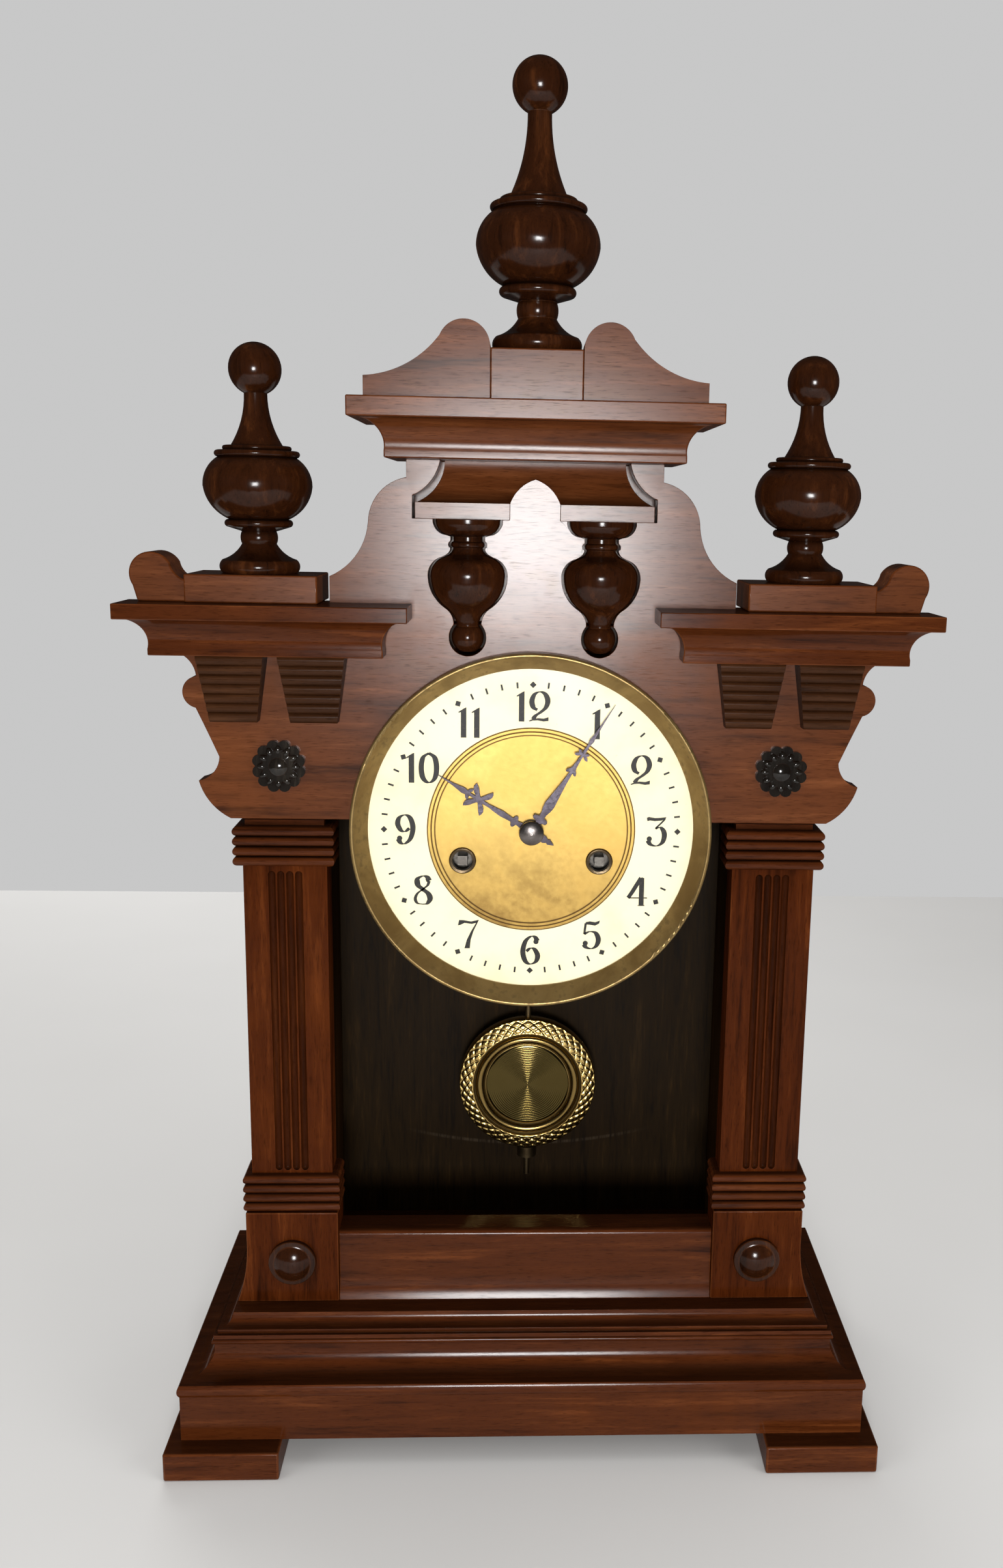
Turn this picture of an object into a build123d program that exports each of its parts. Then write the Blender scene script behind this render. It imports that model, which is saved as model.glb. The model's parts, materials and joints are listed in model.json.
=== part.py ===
"""Steeple-shaped table clock: a turned and moulded wooden case with a spring-driven striking movement.

Millimetres, +X to the right, +Y to the back, +Z up. The origin is on the floor, under the middle of the feet.
"""
from build123d import *

import os
from math import acos, atan2, cos, degrees, hypot, radians, sin, sqrt

# Base
FOOT_OUTER_X = 147.0
FOOT_WIDTH = 46.8
FOOT_DEPTH = 42.0
FOOT_HEIGHT = 12.4
BASE_HALF_DEPTH = 68.0
PLINTH_HALF_WIDTH = 141.4
PLINTH_SETBACK = 9.0
PLINTH_BACK_SETBACK = 3.0
PLINTH_HEIGHT = 24.9
PLINTH_WALL = 16.0
PLINTH_BEAD_HEIGHT = 5.2
PLINTH_BEAD_OUT = 0.9
LOWER_BOARD_SETBACK = 12.2
LOWER_BOARD_THICKNESS = 13.3
LOWER_COVE_OUT = 10.4
LOWER_COVE_HEIGHT = 7.7
LOWER_BEAD_HEIGHT = 2.2
UPPER_BOARD_SETBACK = 18.9
UPPER_BOARD_THICKNESS = 7.9
UPPER_FILLET_HEIGHT = 1.7
UPPER_FILLET_OUT = 1.5
UPPER_COVE_OUT = 4.0

# Case
BOARD_SETBACK = 43.0
BOARD_THICKNESS = 10.0
CASE_INNER_X = 87.0
CASE_WALL = 10.0
CASE_DEPTH = 68.0
CASE_HEADROOM = 68.4
CASE_TOP_THICKNESS = 10.0
BACKBOARD_THICKNESS = 8.0

# Pilasters and lower rail
PILASTER_X = 98.7
BLOCK_HALF_WIDTH = 19.2
BLOCK_HEIGHT = 40.8
BLOCK_FLARE = 4.4
BLOCK_OUT = 7.0
REED_COUNT = 4
REED_STEP = 1.5
REED_OUT = 1.9
REEDED_BASE_HEIGHT = 16.4
SHAFT_HALF_WIDTH = 16.7
SHAFT_HEIGHT = 133.6
SHAFT_OUT = 3.0
FLUTE_COUNT = 4
FLUTE_PITCH = 3.6
FLUTE_RADIUS = 1.45
FLUTE_TOP_GAP = 4.0
FLUTE_FOOT_GAP = 2.6
CAPITAL_HEIGHT = 16.3
NECK_HEIGHT = 2.0
NECK_SETBACK = 2.5
BUTTON_RADIUS = 9.9
BUTTON_HEIGHT = 18.8
BUTTON_OUT = 5.5
PEG_RADIUS = 3.0
PEG_LENGTH = 6.0
RAIL_HEIGHT = 30.8
RAIL_OUT = 3.5
RAIL_CROWN = 3.0
RAIL_DEPTH = 13.0

# Front board outline, on its right half: sizes above the board's lower edge
DIAL_DROP = 4.0
DIAL_OPENING_RADIUS = 70.6
DIAL_TO_DROPS = 1.6
EAR_X = 132.4
EAR_RISE = 15.3
BOARD_FOOT_X = 120.2
HOLLOW_X = 124.0
HOLLOW_RISE = 25.0
LOBE_X = 137.2
LOBE_RISE = 52.8
NOTCH_X = 132.0
NOTCH_RISE = 57.0
WING_X = 139.5
CORNICE_RISE = 66.4
SHOULDER_X = 79.5
SHOULDER_END_RISE = 10.1
SHOULDER_MID_X = 64.4
SHOULDER_MID_RISE = 31.0
CREST_X = 49.6
CREST_NECK = 6.8

# Side cornices, brackets and rosettes
CORNICE_INNER_X = 57.8
CORNICE_OUTER_X = 146.7
CORNICE_OUT = 14.0
CORNICE_HEIGHT = 20.2
CORNICE_SLAB = 5.9
CORNICE_FLARE = 10.2
CORNICE_SOFFIT = 3.4
BRACKET_CENTRES_X = (85.6, 116.7)
BRACKET_HEIGHT = 26.5
BRACKET_REEDS = 7
BRACKET_TOP_WIDTH = 25.8
BRACKET_FOOT_WIDTH = 18.2
BRACKET_TOP_OUT = 11.5
BRACKET_FOOT_OUT = 6.0
REED_BULGE = 0.9
ROSETTE_X = 100.4
ROSETTE_RISE = 21.8
ROSETTE_RADIUS = 10.6
ROSETTE_PETALS = 12
ROSETTE_THICKNESS = 2.2
ROSETTE_STEP = 1.2

# Finials and the blocks under them
FINIAL_X = 106.5
FINIAL_BLOCK_WIDTH = 50.0
FINIAL_BLOCK_CENTRE_X = 107.4
FINIAL_BLOCK_HEIGHT = 10.7
FINIAL_BLOCK_OUT = 13.0
FINIAL_BLOCK_DEPTH = 32.0
SCROLL_EAR_RADIUS = 8.3
SCROLL_EAR_RISE = 10.4
SCROLL_EAR_OUT = 10.0
SCROLL_EAR_DEPTH = 17.0
SCROLL_EAR_REACH = 12.8
SCROLL_EAR_FOOT = 18.2
SIDE_FINIAL_HEIGHT = 86.2
SIDE_BULB_RADIUS = 20.6
SIDE_BALL_RADIUS = 9.9
SIDE_DISC_RADIUS = 15.3
TOP_FINIAL_HEIGHT = 105.2
TOP_BULB_RADIUS = 23.5
TOP_BALL_RADIUS = 10.3
TOP_DISC_RADIUS = 17.2

# Crest, crown and pediment
CREST_OPENING_TOP_X = 36.6
CREST_OPENING_X = 47.4
CREST_BACK_GAP = 8.0
CREST_BACK_DEPTH = 24.0
SHELF_HALF_WIDTH = 46.2
SHELF_DROP = 16.0
SHELF_THICKNESS = 6.2
SHELF_PROUD = 1.5
TONGUE_HALF_WIDTH = 9.8
TONGUE_TOP_DROP = 6.6
PENDANT_X = 26.0
PENDANT_LENGTH = 51.2
PENDANT_DISC_RADIUS = 12.4
PENDANT_BODY_RADIUS = 14.4
PENDANT_BALL_RADIUS = 6.3
PENDANT_NECK_RADIUS = 5.6
PENDANT_AXIS_BACK = 2.0
PENDANT_GAP = 1.0
CROWN_HALF_WIDTH = 56.8
CROWN_OUT = 14.0
CROWN_BACK = 38.0
CROWN_HEIGHT = 21.5
CROWN_SLAB = 7.3
CROWN_FLARE = 12.4
CROWN_SOFFIT = 3.6
PEDIMENT_OUTER_X = 64.2
PEDIMENT_END_HEIGHT = 7.9
PEDIMENT_TURN_X = 36.0
PEDIMENT_TURN_HEIGHT = 22.8
PEDIMENT_PEAK_X = 26.8
PEDIMENT_PEAK_HEIGHT = 28.7
PEDIMENT_OUT = 14.0
PEDIMENT_DEPTH = 18.0
PEDIMENT_BLOCK_HALF_WIDTH = 17.4
PEDIMENT_BLOCK_HEIGHT = 18.9
PEDIMENT_BLOCK_DEPTH = 40.0

# Dial and hands
BEZEL_LAP = 2.0
BEZEL_SIGHT_LAP = 3.8
BEZEL_OUT = 7.0
DIAL_FIT_GAP = 1.0
CHAPTER_INNER_RADIUS = 42.2
CENTRE_RINGS = 2
CENTRE_RING_WIDTH = 1.2
CENTRE_RING_GAP = 0.35
CENTRE_RING_OUT = 0.35
CHAPTER_THICKNESS = 1.0
DIAL_CENTRE_THICKNESS = 0.8
DIAL_PAN_THICKNESS = 1.0
DIAL_PAN_BACK = 2.5
DIAL_FOOT_RADIUS = 1.6
WINDING_X = 27.8
WINDING_DROP = 12.8
GROMMET_RADIUS = 5.6
GROMMET_BORE = 4.0
HOUR_HAND_REACH = 2.3
MINUTE_HAND_GAP = 3.8
HOUR_HAND_ANGLE = 301.5
MINUTE_HAND_ANGLE = 32.0
HAND_THICKNESS = 0.7
HOUR_HAND_OUT = 1.3
MINUTE_HAND_OUT = 3.0
HAND_NUT_RADIUS = 5.0

# Movement: depths are measured back from the front board's face
PLATE_HALF_WIDTH = 55.0
PLATE_BELOW = 46.0
PLATE_ABOVE = 63.0
PLATE_THICKNESS = 2.0
FRONT_PLATE_BACK = 12.0
PLATE_GAP = 30.0
PILLAR_RADIUS = 3.5
PILLAR_X = 49.0
PILLAR_LOW = 40.0
PILLAR_HIGH = 56.0
BRACKET_POST_RADIUS = 3.0
BRACKET_POST_X = 49.0
BRACKET_POST_LOW = 30.0
BRACKET_POST_HIGH = 46.0
BRACKET_FLANGE_RADIUS = 8.0
BRACKET_FLANGE_THICKNESS = 2.0
PIVOT_RADIUS = 1.0
ARBOR_RADIUS = 1.5
TRAIN_PIVOT_RADIUS = 0.7
TRAIN_ARBOR_RADIUS = 0.95
RUNNING_GAP = 0.05
CLEAR_GAP = 0.4
BARREL_RADIUS = 23.0
BARREL_WALL = 1.5
BARREL_START = 5.5
BARREL_LENGTH = 19.5
BARREL_ARBOR_RADIUS = 3.0
WHEEL_THICKNESS = 1.4
PINION_LENGTH = 4.0
GREAT_TEETH = 90
GREAT_PINION_TEETH = 12
CENTRE_TEETH = 84
THIRD_PINION_TEETH = 7
THIRD_TEETH = 77
ESCAPE_PINION_TEETH = 7
ESCAPE_TEETH = 30
ESCAPE_RADIUS = 15.0
CANNON_TEETH = 12
MINUTE_TEETH = 36
MINUTE_PINION_TEETH = 10
HOUR_TEETH = 40
PIN_WHEEL_TEETH = 60
LIFTING_PINS = 6
LIFTING_PIN_RADIUS = 0.7
FLY_PINION_TEETH = 8
CENTRE_MODULE = 0.5
THIRD_MODULE = 0.45
CANNON_MODULE = 0.5
PIN_MODULE = 0.5
THIRD_DIRECTION = 60.0
PIN_WHEEL_DIRECTION = 100.0
FLY_DIRECTION = 60.0
CENTRE_WHEEL_DEPTH = 39.0
THIRD_WHEEL_DEPTH = 41.6
ESCAPE_WHEEL_DEPTH = 30.0
PIN_WHEEL_DEPTH = 15.2
HOUR_WHEEL_DEPTH = 4.0
MINUTE_WHEEL_DEPTH = 7.0
CANNON_RADIUS = 2.3
HOUR_PIPE_RADIUS = 3.3
RATCHET_TEETH = 16
RATCHET_RADIUS = 9.0
RATCHET_DEPTH = 9.8
RATCHET_THICKNESS = 1.6
CLICK_REACH = 16.0
CLICK_LIFT_GAP = 0.5
WINDING_SQUARE = 3.8
WINDING_END_BACK = 0.4
SPRING_STRIP = 0.5
SPRING_PITCH = 1.4
SPRING_ARBOR_GAP = 1.2
SPRING_SHIFT_X = -0.55
SPRING_SHIFT_Z = 0.43
VERGE_RISE = 56.0
PALLET_CLEAR = 1.6
PALLET_WIDTH = 3.0
CRUTCH_LENGTH = 40.0
FLY_RADIUS = 9.0
FLY_START = 8.0
FLY_WIDTH = 10.0
HAMMER_X = 41.0
HAMMER_RISE = 33.5
HAMMER_HEAD_RADIUS = 3.5
HAMMER_GAP = 1.0
HAMMER_HEAD_BACK = 6.0
HAMMER_WALL_GAP = 2.5
GONG_INNER_RADIUS = 17.0
GONG_TURNS = 3
GONG_PITCH = 8.8
GONG_STRIP = 2.4
GONG_DEPTH = 3.0
GONG_FORWARD = 0.8

# Pendulum
PENDULUM_FORWARD = 1.0
PENDULUM_LENGTH = 188.5
ROD_RADIUS = 1.3
BOB_RADIUS = 31.5
BOB_THICKNESS = 14.0
BOB_RIM_THICKNESS = 5.0
BOB_DISC_RADIUS = 18.5
ROD_TAIL = 15.0
NUT_RADIUS = 4.5
NUT_HEIGHT = 5.0
SUSPENSION_LENGTH = 16.0
SUSPENSION_WIDTH = 3.4
SUSPENSION_PIN_RADIUS = 0.8
COCK_WIDTH = 14.0
COCK_CHEEK = 2.0

# Tooth shape: addendum and dedendum in modules, tooth's share of the pitch at root and tip
WHEEL_TOOTH = (0.80, 1.25, 0.52, 0.18)
PINION_TOOTH = (0.75, 1.25, 0.46, 0.18)
TINY = 1e-6

# Heights and depths that follow from the sizes above
BOARD_FRONT_Y = BOARD_SETBACK - BASE_HALF_DEPTH
PLINTH_FRONT_Y = -BASE_HALF_DEPTH + PLINTH_SETBACK
PLINTH_BACK_Y = BASE_HALF_DEPTH - PLINTH_BACK_SETBACK
PLINTH_TOP = FOOT_HEIGHT + PLINTH_HEIGHT
LOWER_TOP = PLINTH_TOP + LOWER_BOARD_THICKNESS
FLOOR = LOWER_TOP + UPPER_BOARD_THICKNESS
BLOCK_TOP = FLOOR + BLOCK_HEIGHT
SHAFT_BOTTOM = BLOCK_TOP + REEDED_BASE_HEIGHT
SHAFT_TOP = SHAFT_BOTTOM + SHAFT_HEIGHT
CAPITAL_TOP = SHAFT_TOP + CAPITAL_HEIGHT
BOARD_BOTTOM = CAPITAL_TOP + NECK_HEIGHT
BOARD_BACK_Y = BOARD_FRONT_Y + BOARD_THICKNESS
DIAL_Z = BOARD_BOTTOM - DIAL_DROP
CORNICE_BOTTOM = BOARD_BOTTOM + CORNICE_RISE
CORNICE_TOP = CORNICE_BOTTOM + CORNICE_HEIGHT
PENDANT_BOTTOM = DIAL_Z + DIAL_OPENING_RADIUS + DIAL_TO_DROPS
SHELF_BOTTOM = PENDANT_BOTTOM + PENDANT_LENGTH
SHELF_TOP = SHELF_BOTTOM + SHELF_THICKNESS
CREST_TOP = SHELF_TOP + SHELF_DROP
CROWN_TOP = CREST_TOP + CROWN_HEIGHT
CASE_TOP_BOTTOM = BOARD_BOTTOM + CASE_HEADROOM
CASE_TOP = CASE_TOP_BOTTOM + CASE_TOP_THICKNESS
CASE_BACK_Y = BOARD_BACK_Y + CASE_DEPTH
BACKBOARD_Y = CASE_BACK_Y - BACKBOARD_THICKNESS
FINIAL_BLOCK_TOP = CORNICE_TOP + FINIAL_BLOCK_HEIGHT
FINIAL_Y = BOARD_FRONT_Y - FINIAL_BLOCK_OUT + FINIAL_BLOCK_DEPTH / 2
PEDIMENT_BLOCK_TOP = CROWN_TOP + PEDIMENT_BLOCK_HEIGHT
CREST_BACK_Y = BOARD_BACK_Y + CREST_BACK_GAP
FRONT_PLATE_Y = BOARD_FRONT_Y + FRONT_PLATE_BACK
TRAIN_Y = FRONT_PLATE_Y + PLATE_THICKNESS
BACK_PLATE_Y = TRAIN_Y + PLATE_GAP
MOVEMENT_BACK_Y = BACK_PLATE_Y + PLATE_THICKNESS
PENDULUM_Y = (MOVEMENT_BACK_Y + BACKBOARD_Y) / 2 - PENDULUM_FORWARD
FORK_END_Y = PENDULUM_Y + 2 * ROD_RADIUS
GONG_Y = (FORK_END_Y + BACKBOARD_Y - GONG_DEPTH) / 2 - GONG_FORWARD
VERGE_Z = DIAL_Z + VERGE_RISE
BOB_Z = VERGE_Z - PENDULUM_LENGTH
DIAL_PAN_Y = BOARD_FRONT_Y + DIAL_PAN_BACK - DIAL_PAN_THICKNESS
CHAPTER_Y = DIAL_PAN_Y - CHAPTER_THICKNESS
DIAL_RADIUS = DIAL_OPENING_RADIUS - DIAL_FIT_GAP
BEZEL_RADIUS = DIAL_OPENING_RADIUS + BEZEL_LAP
BEZEL_SIGHT_RADIUS = DIAL_RADIUS - BEZEL_SIGHT_LAP
HOUR_HAND_LENGTH = CHAPTER_INNER_RADIUS + HOUR_HAND_REACH
MINUTE_HAND_LENGTH = BEZEL_SIGHT_RADIUS - MINUTE_HAND_GAP
WINDING_Z = DIAL_Z - WINDING_DROP
GREAT_DISTANCE = hypot(WINDING_X, WINDING_DROP)
GREAT_MODULE = 2 * GREAT_DISTANCE / (GREAT_TEETH + GREAT_PINION_TEETH)


def at_depth(y):
    """Places (x, z) points on the upright plane at depth y."""
    return lambda point: (point[0], y, point[1])


def closed_face(place, start, *steps):
    """A plane face; each step is an end point, or a (through, end) pair for an arc."""
    edges = []
    here = start
    for step in (*steps, start):
        is_arc = isinstance(step[0], tuple)
        end = step[1] if is_arc else step
        if hypot(end[0] - here[0], end[1] - here[1]) > TINY:
            if is_arc:
                edges.append(ThreePointArc(place(here), place(step[0]), place(end)))
            else:
                edges.append(Line(place(here), place(end)))
        here = end
    return Face(Wire(edges))


def plate(front_y, back_y, start, *steps):
    """A board with the given front outline between two depths."""
    face = closed_face(at_depth(front_y), start, *steps)
    return extrude(face, amount=back_y - front_y, dir=(0, 1, 0))


def turned_upright(x, y, start, *steps):
    """A turned piece on a vertical axis, from a (radius, height) profile."""
    face = closed_face(lambda point: (x + point[0], y, point[1]), start, *steps)
    return revolve(face, Axis((x, y, 0), (0, 0, 1)))


def turned_level(x, z, start, *steps):
    """A turned piece on an axis along Y, from a (radius, depth) profile."""
    face = closed_face(lambda point: (x + point[0], point[1], z), start, *steps)
    return revolve(face, Axis((x, 0, z), (0, 1, 0)))


def drum(x, z, radius, front_y, back_y):
    """A plain cylinder along Y between two depths."""
    return turned_level(x, z, (0, front_y), (radius, front_y), (radius, back_y), (0, back_y))


def block(x0, x1, y0, y1, z0, z1):
    """A rectangular block between two corners."""
    return Pos((x0 + x1) / 2, (y0 + y1) / 2, (z0 + z1) / 2) * Box(x1 - x0, y1 - y0, z1 - z0)


def mirrored_pair(solid):
    """The right-hand piece and its left-hand twin."""
    return [solid, mirror(solid, about=Plane.YZ)]


def moved_profile(profile, place):
    """A profile of points and arcs with every point moved by place."""
    return [
        tuple(place(point) for point in step) if isinstance(step[0], tuple) else place(step)
        for step in profile
    ]


def moulded_board(profile, left, right, front, back):
    """A board whose (outward, height) profile runs along its front and, mitred, along both ends."""
    bottom = profile[0][1]
    last = profile[-1]
    top = last[1][1] if isinstance(last[0], tuple) else last[1]
    reach = max(abs(left), abs(right)) + BASE_HALF_DEPTH
    along = moved_profile(profile, lambda p: (front - p[0], p[1]))
    front_face = closed_face(lambda p: (-reach, p[0], p[1]), *along, (back, top), (back, bottom))
    run_front = extrude(front_face, amount=2 * reach, dir=(1, 0, 0))
    middle = (left + right) / 2
    half = (right - left) / 2
    ends = moved_profile(profile, lambda p: (middle + half + p[0], p[1]))
    end_face = closed_face(at_depth(-2 * BASE_HALF_DEPTH), (middle, bottom), *ends, (middle, top))
    half_run = extrude(end_face, amount=4 * BASE_HALF_DEPTH, dir=(0, 1, 0))
    run_ends = half_run + mirror(half_run, about=Plane.YZ.offset(middle))
    return run_front & run_ends


def reeds(count, bottom, height, out):
    """An (outward, height) profile of stacked half-round reeds."""
    pitch = height / count
    profile = [(0, bottom)]
    for i in range(count):
        low = bottom + i * pitch
        profile.append(((out, low + pitch / 2), (0, low + pitch)))
    return profile


def gear_points(teeth, module, tooth, turn):
    """Corners of a straight-flanked gear; turn is the angle of one tooth's middle."""
    addendum, dedendum, root_share, tip_share = tooth
    pitch_radius = module * teeth / 2
    root = pitch_radius - dedendum * module
    tip = pitch_radius + addendum * module
    step = 360 / teeth
    corners = ((root, -root_share), (tip, -tip_share), (tip, tip_share), (root, root_share))
    points = []
    for i in range(teeth):
        for radius, share in corners:
            angle = radians(turn + (i + share / 2) * step)
            points.append((radius * cos(angle), radius * sin(angle)))
    return points


def toothed(points, x, z, front_y, back_y):
    """A flat toothed piece about (x, z) between two depths."""
    shifted = [(x + px, z + pz) for px, pz in points]
    return plate(front_y, back_y, *shifted)


def gear(teeth, module, tooth, x, z, front_y, back_y, turn):
    """A gear about (x, z) between two depths."""
    return toothed(gear_points(teeth, module, tooth, turn), x, z, front_y, back_y)


def crossed_out(wheel, x, z, radius, front_y, back_y, count):
    """A wheel with round openings that leave its arms."""
    for i in range(count):
        angle = radians(360 / count * (i + 0.5))
        reach = 0.56 * radius
        wheel -= drum(x + reach * cos(angle), z + reach * sin(angle), 0.26 * radius, front_y, back_y)
    return wheel


def arbor_between_plates(x, z, radius, pivot):
    """An arbor with a pivot in each plate."""
    body = drum(x, z, radius, TRAIN_Y + CLEAR_GAP, BACK_PLATE_Y - CLEAR_GAP)
    return body + drum(x, z, pivot, FRONT_PLATE_Y, MOVEMENT_BACK_Y)


def spiral_arcs(inner_radius, turns, pitch):
    """Half circles of a spiral that grow by half a pitch each: centre offset, radius, +1 above or -1 below."""
    return [
        (pitch / 2 * (i % 2), inner_radius + i * pitch / 2, -1 if i % 2 else 1)
        for i in range(2 * turns)
    ]


def spiral_strip(x, z, arcs, strip, front_y, back_y):
    """A flat strip wound along the half circles of a spiral about (x, z)."""
    half = strip / 2
    steps = []
    for offset, radius, side in arcs:
        reach = radius + half
        steps.append(((x + offset, z + side * reach), (x + offset - side * reach, z)))
    for offset, radius, side in reversed(arcs):
        reach = radius - half
        steps.append((x + offset - side * reach, z))
        steps.append(((x + offset, z + side * reach), (x + offset + side * reach, z)))
    return plate(front_y, back_y, (x + arcs[0][0] + arcs[0][1] + half, z), *steps)


def least_strip_gap(arcs, strip):
    """The least gap between neighbouring turns, measured between points on the strip's middle line."""
    per_arc = 24
    points = []
    for offset, radius, side in arcs:
        for i in range(per_arc):
            angle = radians(180 * (i / per_arc + (0 if side > 0 else 1)))
            points.append((offset + radius * cos(angle), radius * sin(angle)))
    gaps = [
        hypot(points[i][0] - points[j][0], points[i][1] - points[j][1])
        for i in range(len(points)) for j in range(i + per_arc, len(points))
    ]
    return min(gaps) - strip


def cap_point(radius, base_y, top_y):
    """A point half way out on a spherical cap whose rim is at base_y and whose top is at top_y."""
    height = abs(top_y - base_y)
    ball = (radius ** 2 + height ** 2) / (2 * height)
    sink = ball - sqrt(ball ** 2 - (radius / 2) ** 2)
    return (radius / 2, top_y + sink * (1 if base_y > top_y else -1))


def save(name, *solids):
    """Writes one node; a node of several like pieces keeps them as separate solids."""
    pieces = [solid for item in solids for solid in item.solids()]
    shape = pieces[0] if len(pieces) == 1 else Compound(children=pieces)
    export_step(shape, os.path.join("parts", name + ".step"))


def clock_angle(degrees_from_twelve):
    """A clockwise angle from twelve, as an anticlockwise angle from +X seen from the front."""
    return radians(90 - degrees_from_twelve)


os.makedirs("parts", exist_ok=True)

# Base: feet, plinth box and two moulded boards
feet = []
for foot_y in (-BASE_HALF_DEPTH, BASE_HALF_DEPTH - FOOT_DEPTH):
    foot = block(FOOT_OUTER_X - FOOT_WIDTH, FOOT_OUTER_X, foot_y, foot_y + FOOT_DEPTH, 0, FOOT_HEIGHT)
    feet += mirrored_pair(foot)
save("feet", *feet)

bead_bottom = PLINTH_TOP - PLINTH_BEAD_HEIGHT
plinth_profile = [
    (0, FOOT_HEIGHT),
    (0, bead_bottom),
    ((PLINTH_BEAD_OUT, bead_bottom + PLINTH_BEAD_HEIGHT / 2), (0, PLINTH_TOP)),
]
plinth = moulded_board(plinth_profile, -PLINTH_HALF_WIDTH, PLINTH_HALF_WIDTH, PLINTH_FRONT_Y, PLINTH_BACK_Y)
plinth -= block(
    PLINTH_WALL - PLINTH_HALF_WIDTH, PLINTH_HALF_WIDTH - PLINTH_WALL,
    PLINTH_FRONT_Y + PLINTH_WALL, PLINTH_BACK_Y - PLINTH_WALL, FOOT_HEIGHT, PLINTH_TOP,
)
save("base_plinth", plinth)

cove_top = PLINTH_TOP + LOWER_COVE_HEIGHT
lower_bead_bottom = LOWER_TOP - LOWER_BEAD_HEIGHT
lower_profile = [
    (LOWER_COVE_OUT, PLINTH_TOP),
    ((0.3 * LOWER_COVE_OUT, PLINTH_TOP + 0.3 * LOWER_COVE_HEIGHT), (0, cove_top)),
    (0, lower_bead_bottom),
    ((LOWER_BEAD_HEIGHT / 2, lower_bead_bottom + LOWER_BEAD_HEIGHT / 2), (0, LOWER_TOP)),
]
lower_half = PLINTH_HALF_WIDTH - LOWER_BOARD_SETBACK
save("base_lower_board", moulded_board(
    lower_profile, -lower_half, lower_half, PLINTH_FRONT_Y + LOWER_BOARD_SETBACK, PLINTH_BACK_Y))

fillets_top = LOWER_TOP + 2 * UPPER_FILLET_HEIGHT
upper_profile = [
    (UPPER_COVE_OUT + 2 * UPPER_FILLET_OUT, LOWER_TOP),
    (UPPER_COVE_OUT + 2 * UPPER_FILLET_OUT, LOWER_TOP + UPPER_FILLET_HEIGHT),
    (UPPER_COVE_OUT + UPPER_FILLET_OUT, LOWER_TOP + UPPER_FILLET_HEIGHT),
    (UPPER_COVE_OUT + UPPER_FILLET_OUT, fillets_top),
    (UPPER_COVE_OUT, fillets_top),
    ((0.3 * UPPER_COVE_OUT, fillets_top + 0.3 * (FLOOR - fillets_top)), (0, FLOOR)),
]
upper_half = PLINTH_HALF_WIDTH - UPPER_BOARD_SETBACK
save("base_upper_board", moulded_board(
    upper_profile, -upper_half, upper_half, PLINTH_FRONT_Y + UPPER_BOARD_SETBACK, PLINTH_BACK_Y))

# Case: sides, top, backboard
case_side = block(CASE_INNER_X, CASE_INNER_X + CASE_WALL, BOARD_BACK_Y, CASE_BACK_Y, FLOOR, CASE_TOP)
save("case_sides", *mirrored_pair(case_side))
save("case_top", block(-CASE_INNER_X, CASE_INNER_X, BOARD_BACK_Y, BACKBOARD_Y, CASE_TOP_BOTTOM, CASE_TOP))
save("backboard", block(-CASE_INNER_X, CASE_INNER_X, BACKBOARD_Y, CASE_BACK_Y, FLOOR, CASE_TOP))

# Pilasters, from the plinth block up
block_inner_x = PILASTER_X - BLOCK_HALF_WIDTH
block_outer_x = PILASTER_X + BLOCK_HALF_WIDTH
button_z = FLOOR + BUTTON_HEIGHT
block_face_y = BOARD_FRONT_Y - BLOCK_OUT
plinth_block = plate(
    block_face_y, BOARD_BACK_Y, (block_inner_x, FLOOR), (block_outer_x + BLOCK_FLARE, FLOOR),
    ((block_outer_x + 0.25 * BLOCK_FLARE, FLOOR + 0.3 * BLOCK_HEIGHT), (block_outer_x, FLOOR + 0.7 * BLOCK_HEIGHT)),
    (block_outer_x, BLOCK_TOP), (block_inner_x, BLOCK_TOP),
)
plinth_block -= drum(PILASTER_X, button_z, PEG_RADIUS, block_face_y, block_face_y + PEG_LENGTH)
save("pilaster_plinths", *mirrored_pair(plinth_block))

button_dome = 0.78 * BUTTON_RADIUS
dome_rim_y = block_face_y - 0.45 * BUTTON_OUT
button = turned_level(
    PILASTER_X, button_z, (0, block_face_y - BUTTON_OUT),
    (cap_point(button_dome, dome_rim_y, block_face_y - BUTTON_OUT), (button_dome, dome_rim_y)),
    (BUTTON_RADIUS, block_face_y - 0.4 * BUTTON_OUT), (BUTTON_RADIUS, block_face_y),
    (PEG_RADIUS, block_face_y), (PEG_RADIUS, block_face_y + PEG_LENGTH), (0, block_face_y + PEG_LENGTH),
)
save("plinth_buttons", *mirrored_pair(button))


def reeded_block(bottom, height, neck):
    """A block of half-round reeds on its front and ends, with a set-back neck on top where there is one."""
    half = SHAFT_HALF_WIDTH + REED_STEP
    front = BOARD_FRONT_Y - SHAFT_OUT - REED_STEP
    body = moulded_board(
        reeds(REED_COUNT, bottom, height, REED_OUT), PILASTER_X - half, PILASTER_X + half, front, BOARD_BACK_Y)
    if neck:
        top = bottom + height
        body += block(
            PILASTER_X - half + NECK_SETBACK, PILASTER_X + half - NECK_SETBACK,
            front + NECK_SETBACK, BOARD_BACK_Y, top, top + neck)
    return body


save("pilaster_mouldings", *mirrored_pair(reeded_block(BLOCK_TOP, REEDED_BASE_HEIGHT, 0)),
     *mirrored_pair(reeded_block(SHAFT_TOP, CAPITAL_HEIGHT, NECK_HEIGHT)))

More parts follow.
